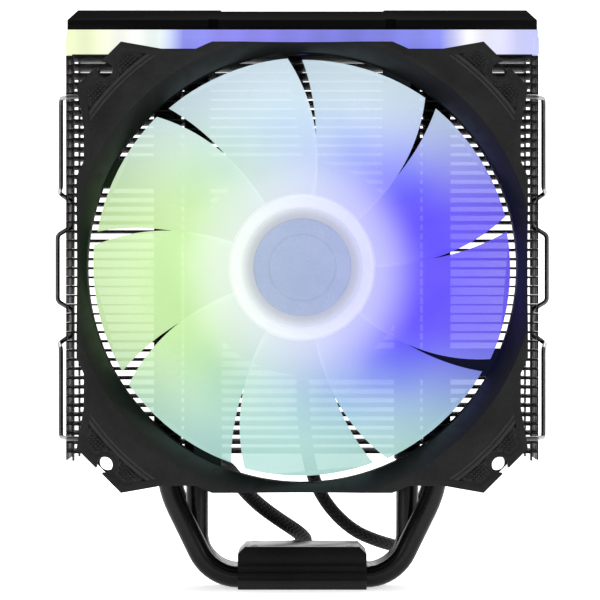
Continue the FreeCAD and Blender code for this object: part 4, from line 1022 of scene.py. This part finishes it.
# %% A lathe
def lathe_columns(work, outline, steps):
    """The outline's points at each step round the fan's axis. A point on the axis is shared by all steps."""
    columns = []
    for step in range(steps):
        angle = math.tau * step / steps
        column = []
        for at, (radius, depth) in enumerate(outline):
            if radius == 0 and step:
                column.append(columns[0][at])
            else:
                place = (radius * MM * math.cos(angle), depth * MM, FAN_Z + radius * MM * math.sin(angle))
                column.append(work.verts.new(place))
        columns.append(column)
    return columns


def turned(name, outline, steps=96):
    """A closed solid of revolution about the fan's axis from (radius, depth) points in millimetres."""
    mesh = bpy.data.meshes.new(name)
    with edited(mesh) as work:
        columns = lathe_columns(work, outline, steps)
        for near, far in zip(columns, columns[1:] + columns[:1]):
            for at in range(len(outline)):
                after = (at + 1) % len(outline)
                corners = list(dict.fromkeys((near[at], near[after], far[after], far[at])))
                if len(corners) > 2:
                    work.faces.new(corners)
        bmesh.ops.recalc_face_normals(work, faces=work.faces)
    smooth_by_angle(mesh, 30.0)
    return mesh


def quarter(centre_radius, centre_depth, radius, start, end, steps=6):
    """Points of an arc for an outline, between two angles in degrees."""
    angles = [math.radians(start + (end - start) * at / steps) for at in range(steps + 1)]
    return [(centre_radius + radius * math.cos(a), centre_depth + radius * math.sin(a)) for a in angles]


# %% Hub
HUB_FRONT = -49.2
HUB_REAR = -32.2
HUB_BORE = 17.7
HUB_SKIN = 1.9
HUB_EDGE = 1.6
DISH_RADIUS = 15.9
DISH_DEPTH = 0.5
hub_outline = [(0, HUB_FRONT + DISH_DEPTH), (DISH_RADIUS, HUB_FRONT + DISH_DEPTH)]
hub_outline += quarter(DISH_RADIUS + DISH_DEPTH, HUB_FRONT + DISH_DEPTH, DISH_DEPTH, 180, 270, 4)
hub_outline += quarter(HUB_RADIUS - HUB_EDGE, HUB_FRONT + HUB_EDGE, HUB_EDGE, -90, 0)
hub_outline += [(HUB_RADIUS, HUB_REAR - 0.4), (HUB_RADIUS - 0.4, HUB_REAR), (HUB_BORE + 0.3, HUB_REAR),
                (HUB_BORE, HUB_REAR - 0.3), (HUB_BORE, HUB_FRONT + HUB_SKIN), (0, HUB_FRONT + HUB_SKIN)]
hub = finish_piece("hub_shell", turned("hub_shell", hub_outline), "fan_rotor", "milky_plastic", "hub_white")
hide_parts("impeller")
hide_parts("impeller")

CAP_FRONT = HUB_FRONT + 0.06
CAP_REAR = HUB_FRONT + DISH_DEPTH
CAP_RADIUS = 13.0
CAP_EDGE = 0.4
RING_FLOOR = HUB_FRONT + 0.2
cap_outline = [(0, CAP_FRONT), (8.6, CAP_FRONT), (8.75, RING_FLOOR), (9.05, RING_FLOOR), (9.2, CAP_FRONT),
               (CAP_RADIUS - CAP_EDGE, CAP_FRONT)]
cap_outline += quarter(CAP_RADIUS - CAP_EDGE, CAP_FRONT + CAP_EDGE, CAP_EDGE, -90, 0, 4)
cap_outline += [(CAP_RADIUS, CAP_REAR), (0, CAP_REAR)]
cap = finish_piece("hub_cap_turned", turned("hub_cap_turned", cap_outline), "fan_rotor", "cap_grey")
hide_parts("hub_cap")
print(f"hub: {len(hub.data.polygons)} faces, cap: {len(cap.data.polygons)} faces")

# %% [markdown]
# ## Softened solids
#
# The frame of the fan, the block, the band and the cover keep their shape from the model. Each gets a copy
# with rounded edges. Round bars such as pipes and clips have no edges to soften; their copies only shade
# smoothly.

# %% Soften
SOFT_EDGES = {
    "fan_frame": 0.3, "base_block": 0.25, "cold_plate": 0.2, "light_band": 0.25, "top_cover": 0.3,
    "light_cable_grommet": 0.3, "fan_cable_gland": 0.3, "cable_tie": 0.12,
}
for node_name, width in SOFT_EDGES.items():
    softened(node_name, width * MM)


def smoothed(node_name):
    """A copy of a round solid that shades smoothly."""
    mesh = joined_copy(node_name, 0.05)
    piece = finish_piece(node_name + "_smooth", mesh, BODY_OF[node_name], SLOT_OF[node_name])
    smooth_by_angle(piece.data, 40.0)
    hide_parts(node_name)


for node_name in NODES:
    if node_name.startswith("heat_pipe") or node_name.endswith("_clip"):
        smoothed(node_name)

# %% [markdown]
# ## Corner pads
#
# Rubber pads in the fan's corners keep its hum out of the case. Each front pad has a narrow groove that
# follows the ring, and outside it a sunken field. Groove and field are cut by a boolean with turned rings,
# because a cut leaves the pad one closed solid with crisp walls, and bump alone would vanish at the pad's
# edge.


# %% Cut the groove and the field
def carve(piece, cutter):
    """Take a cutter's shape away from a piece, for good, and clear the cutter."""
    cut = piece.modifiers.new("cut", "BOOLEAN")
    cut.operation = "DIFFERENCE"
    cut.solver = "EXACT"
    cut.object = cutter
    settle(piece)
    bpy.data.objects.remove(cutter)


def groove_rings(name, spans, front, back):
    """Rings of a rectangular section, side by side in one mesh, each from one radius to another."""
    mesh = bpy.data.meshes.new(name)
    with edited(mesh) as work:
        for inner, outer in spans:
            ring = turned(name, [(inner, front), (outer, front), (outer, back), (inner, back)], 192)
            work.from_mesh(ring)
            bpy.data.meshes.remove(ring)
    return add_object(name, mesh)


PAD_FRONT = FAN_FRONT / MM - 0.1
FIELD_DEPTH = 0.35
GROOVE = (69.0, 69.4)
FIELD = (70.2, 90.2)
front_pads = {}
for node_name in [name for name in NODES if name.startswith("front_pad")]:
    pad = finish_piece(node_name + "_knurled", joined_copy(node_name), "cooler", "pad_rubber")
    carve(pad, groove_rings("groove_rings", [GROOVE, FIELD], PAD_FRONT - 0.5, PAD_FRONT + FIELD_DEPTH))
    front_pads[node_name] = pad
print(len(front_pads), "pads cut")

# %% [markdown]
# ### Studs
#
# The sunken field of each front pad is knurled: small four-sided studs stand on a square grid turned by 45
# degrees. Geometry Nodes place them, because a stud may stand only where it fits whole. Five rays from in
# front of the pad, one at each grid point and four round it, must all meet the field's floor.


# %% Knurl the pads
RAY_LENGTH = 3 * MM
LEVEL_WITHIN = 0.02 * MM
STUD_TIP = 0.12 * MM


def knurl_tree(inputs):
    """Four-sided studs on a turned square grid, wherever five rays show that a whole stud fits."""
    tree, given, result = geometry_tree("knurl", inputs)
    square = {"Size X": given["Field"], "Size Y": given["Field"], "Vertices X": given["Rows"],
              "Vertices Y": given["Rows"]}
    grid = put(tree, "GeometryNodeMeshGrid", square).outputs[0]
    middle = {"X": given["Centre X"], "Y": given["Front"], "Z": given["Centre Z"]}
    centre = put(tree, "ShaderNodeCombineXYZ", middle).outputs[0]
    upright = (math.radians(90), math.radians(45), 0)
    spread = put(tree, "GeometryNodeTransform",
                 {"Geometry": grid, "Translation": centre, "Rotation": upright}).outputs[0]
    place = put(tree, "GeometryNodeInputPosition").outputs[0]
    fits = 1.0
    for across, up in ((0, 0), (1, 0), (-1, 0), (0, 1), (0, -1)):
        aside = put(tree, "ShaderNodeVectorMath", {0: (across, 0, up), "Scale": given["Stud Radius"]},
                    operation="SCALE").outputs[0]
        start = put(tree, "ShaderNodeVectorMath", {0: place, 1: aside}, operation="ADD").outputs[0]
        ray = put(tree, "GeometryNodeRaycast", {
            "Target Geometry": given["Geometry"], "Source Position": start, "Ray Direction": (0, 1, 0),
            "Ray Length": RAY_LENGTH}).outputs
        level = put(tree, "ShaderNodeMath", {0: ray["Hit Distance"], 1: given["Reach"], 2: LEVEL_WITHIN},
                    operation="COMPARE").outputs[0]
        fits = maths(tree, "MULTIPLY", fits, maths(tree, "MULTIPLY", ray["Is Hit"], level))
    stud = put(tree, "GeometryNodeMeshCone", {
        "Vertices": 4, "Radius Top": STUD_TIP, "Radius Bottom": given["Stud Radius"],
        "Depth": given["Stud Height"]}).outputs[0]
    forwards = (math.radians(90), 0, 0)
    studs = put(tree, "GeometryNodeInstanceOnPoints", {
        "Points": spread, "Selection": fits, "Instance": stud, "Rotation": forwards}).outputs[0]
    inwards = put(tree, "ShaderNodeCombineXYZ", {"Y": given["Reach"]}).outputs[0]
    seated = put(tree, "GeometryNodeTransform", {"Geometry": studs, "Translation": inwards}).outputs[0]
    both = put(tree, "GeometryNodeJoinGeometry")
    for part in (given["Geometry"], seated):
        tree.links.new(part, both.inputs[0])
    end_tree(tree, both.outputs[0], given, result)
    return tree


STAND_OFF = 1.0
KNURL = {
    "Field": 26 * MM, "Rows": 31, "Centre X": 0.0, "Front": (PAD_FRONT - STAND_OFF) * MM, "Centre Z": 0.0,
    "Stud Radius": 0.56 * MM, "Stud Height": FIELD_DEPTH * MM, "Reach": (STAND_OFF + FIELD_DEPTH) * MM,
    "Material": FINISHES["pad_rubber"],
}
PAD_MIDDLE = 50 * MM
KNURLING = knurl_tree(KNURL)
for node_name, pad in front_pads.items():
    KNURL["Centre X"] = PAD_MIDDLE if "right" in node_name else -PAD_MIDDLE
    KNURL["Centre Z"] = FAN_Z + (PAD_MIDDLE if "upper" in node_name else -PAD_MIDDLE)
    grow(pad, KNURLING, KNURL)
    smooth_by_angle(pad.data, 20.0)
    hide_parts(node_name)
    print(f"{pad.name}: {len(pad.data.polygons)} faces")

# %% [markdown]
# ## Plugs
#
# A fan plug and a light plug are moulded blocks with a row of square holes for the board's pins, a small
# window over each contact, and rails that stop it going in the wrong way round. The block is made in mesh
# code, and the holes and windows are one cutter, placed by the pitch of the pins.


# %% Build both plugs
def add_box(work, low, high):
    """One closed box between two corners, in millimetres."""
    centre = [(a + b) / 2 * MM for a, b in zip(low, high)]
    span = [(b - a) * MM for a, b in zip(low, high)]
    bmesh.ops.create_cube(work, size=1.0, matrix=Matrix.Translation(centre) @ Matrix.Diagonal((*span, 1.0)))


def box_piece(name, boxes):
    """A piece made of boxes."""
    mesh = bpy.data.meshes.new(name)
    with edited(mesh) as work:
        for low, high in boxes:
            add_box(work, low, high)
    return add_object(name, mesh)


PIN_PITCH = 2.54
PIN_HALF = 0.55
PIN_DEPTH = 6.0
WINDOW_HALF = 0.45
RAIL_PLACE = 3.9
RAIL_HALF = 0.35


def pin_cutter(name, pins, mating_side, face, middle, top):
    """A hole for each pin, and a window in the top over each contact."""
    holes = []
    for at in range(pins):
        x = (at - (pins - 1) / 2) * PIN_PITCH
        start, end = sorted((face + mating_side, face - mating_side * PIN_DEPTH))
        holes.append(([x - PIN_HALF, start, middle - PIN_HALF], [x + PIN_HALF, end, middle + PIN_HALF]))
        start, end = sorted((face - mating_side * 3.0, face - mating_side * 4.6))
        holes.append(([x - WINDOW_HALF, start, top - 1.1], [x + WINDOW_HALF, end, top + 1.0]))
    return box_piece(name, holes)


def make_plug(node_name, pins, mating_side):
    """A plug with its pin holes on the end that mates, which looks to -Y or +Y."""
    low, high = [[v / MM for v in corner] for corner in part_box(node_name)]
    middle = (low[2] + high[2]) / 2
    face = low[1] if mating_side < 0 else high[1]
    block = ([low[0] + 0.3, low[1], low[2]], [high[0] - 0.3, high[1], high[2] - 0.5])
    piece = box_piece(node_name + "_moulded", [block])
    rounded(piece, 0.3 * MM, 30.0)
    carve(piece, pin_cutter(node_name + "_holes", pins, mating_side, face, middle, high[2]))
    rails = box_piece(node_name + "_rails", [
        ([x - RAIL_HALF, low[1] + 0.6, high[2] - 0.9], [x + RAIL_HALF, high[1] - 0.6, high[2]])
        for x in (-RAIL_PLACE, RAIL_PLACE)])
    with edited(piece.data) as work:
        work.from_mesh(rails.data)
    bpy.data.objects.remove(rails)
    smooth_by_angle(piece.data, 30.0)
    dress(piece, "plug_plastic")
    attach(piece, "cooler")
    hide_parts(node_name)
    print(f"{piece.name}: {len(piece.data.polygons)} faces")


make_plug("fan_plug", 4, -1)
make_plug("light_plug", 3, 1)

# %% Lay both cables
fan_points = FAN_CABLE_ROUTE + fan_coil()
light_points = LIGHT_CABLE_ROUTE + light_coil()
lay_cable("fan_cable", fan_points, FAN_CABLE_WIDTH, "fan_cable_coil")
lay_cable("light_cable", light_points, LIGHT_CABLE_WIDTH, "light_cable_coil")
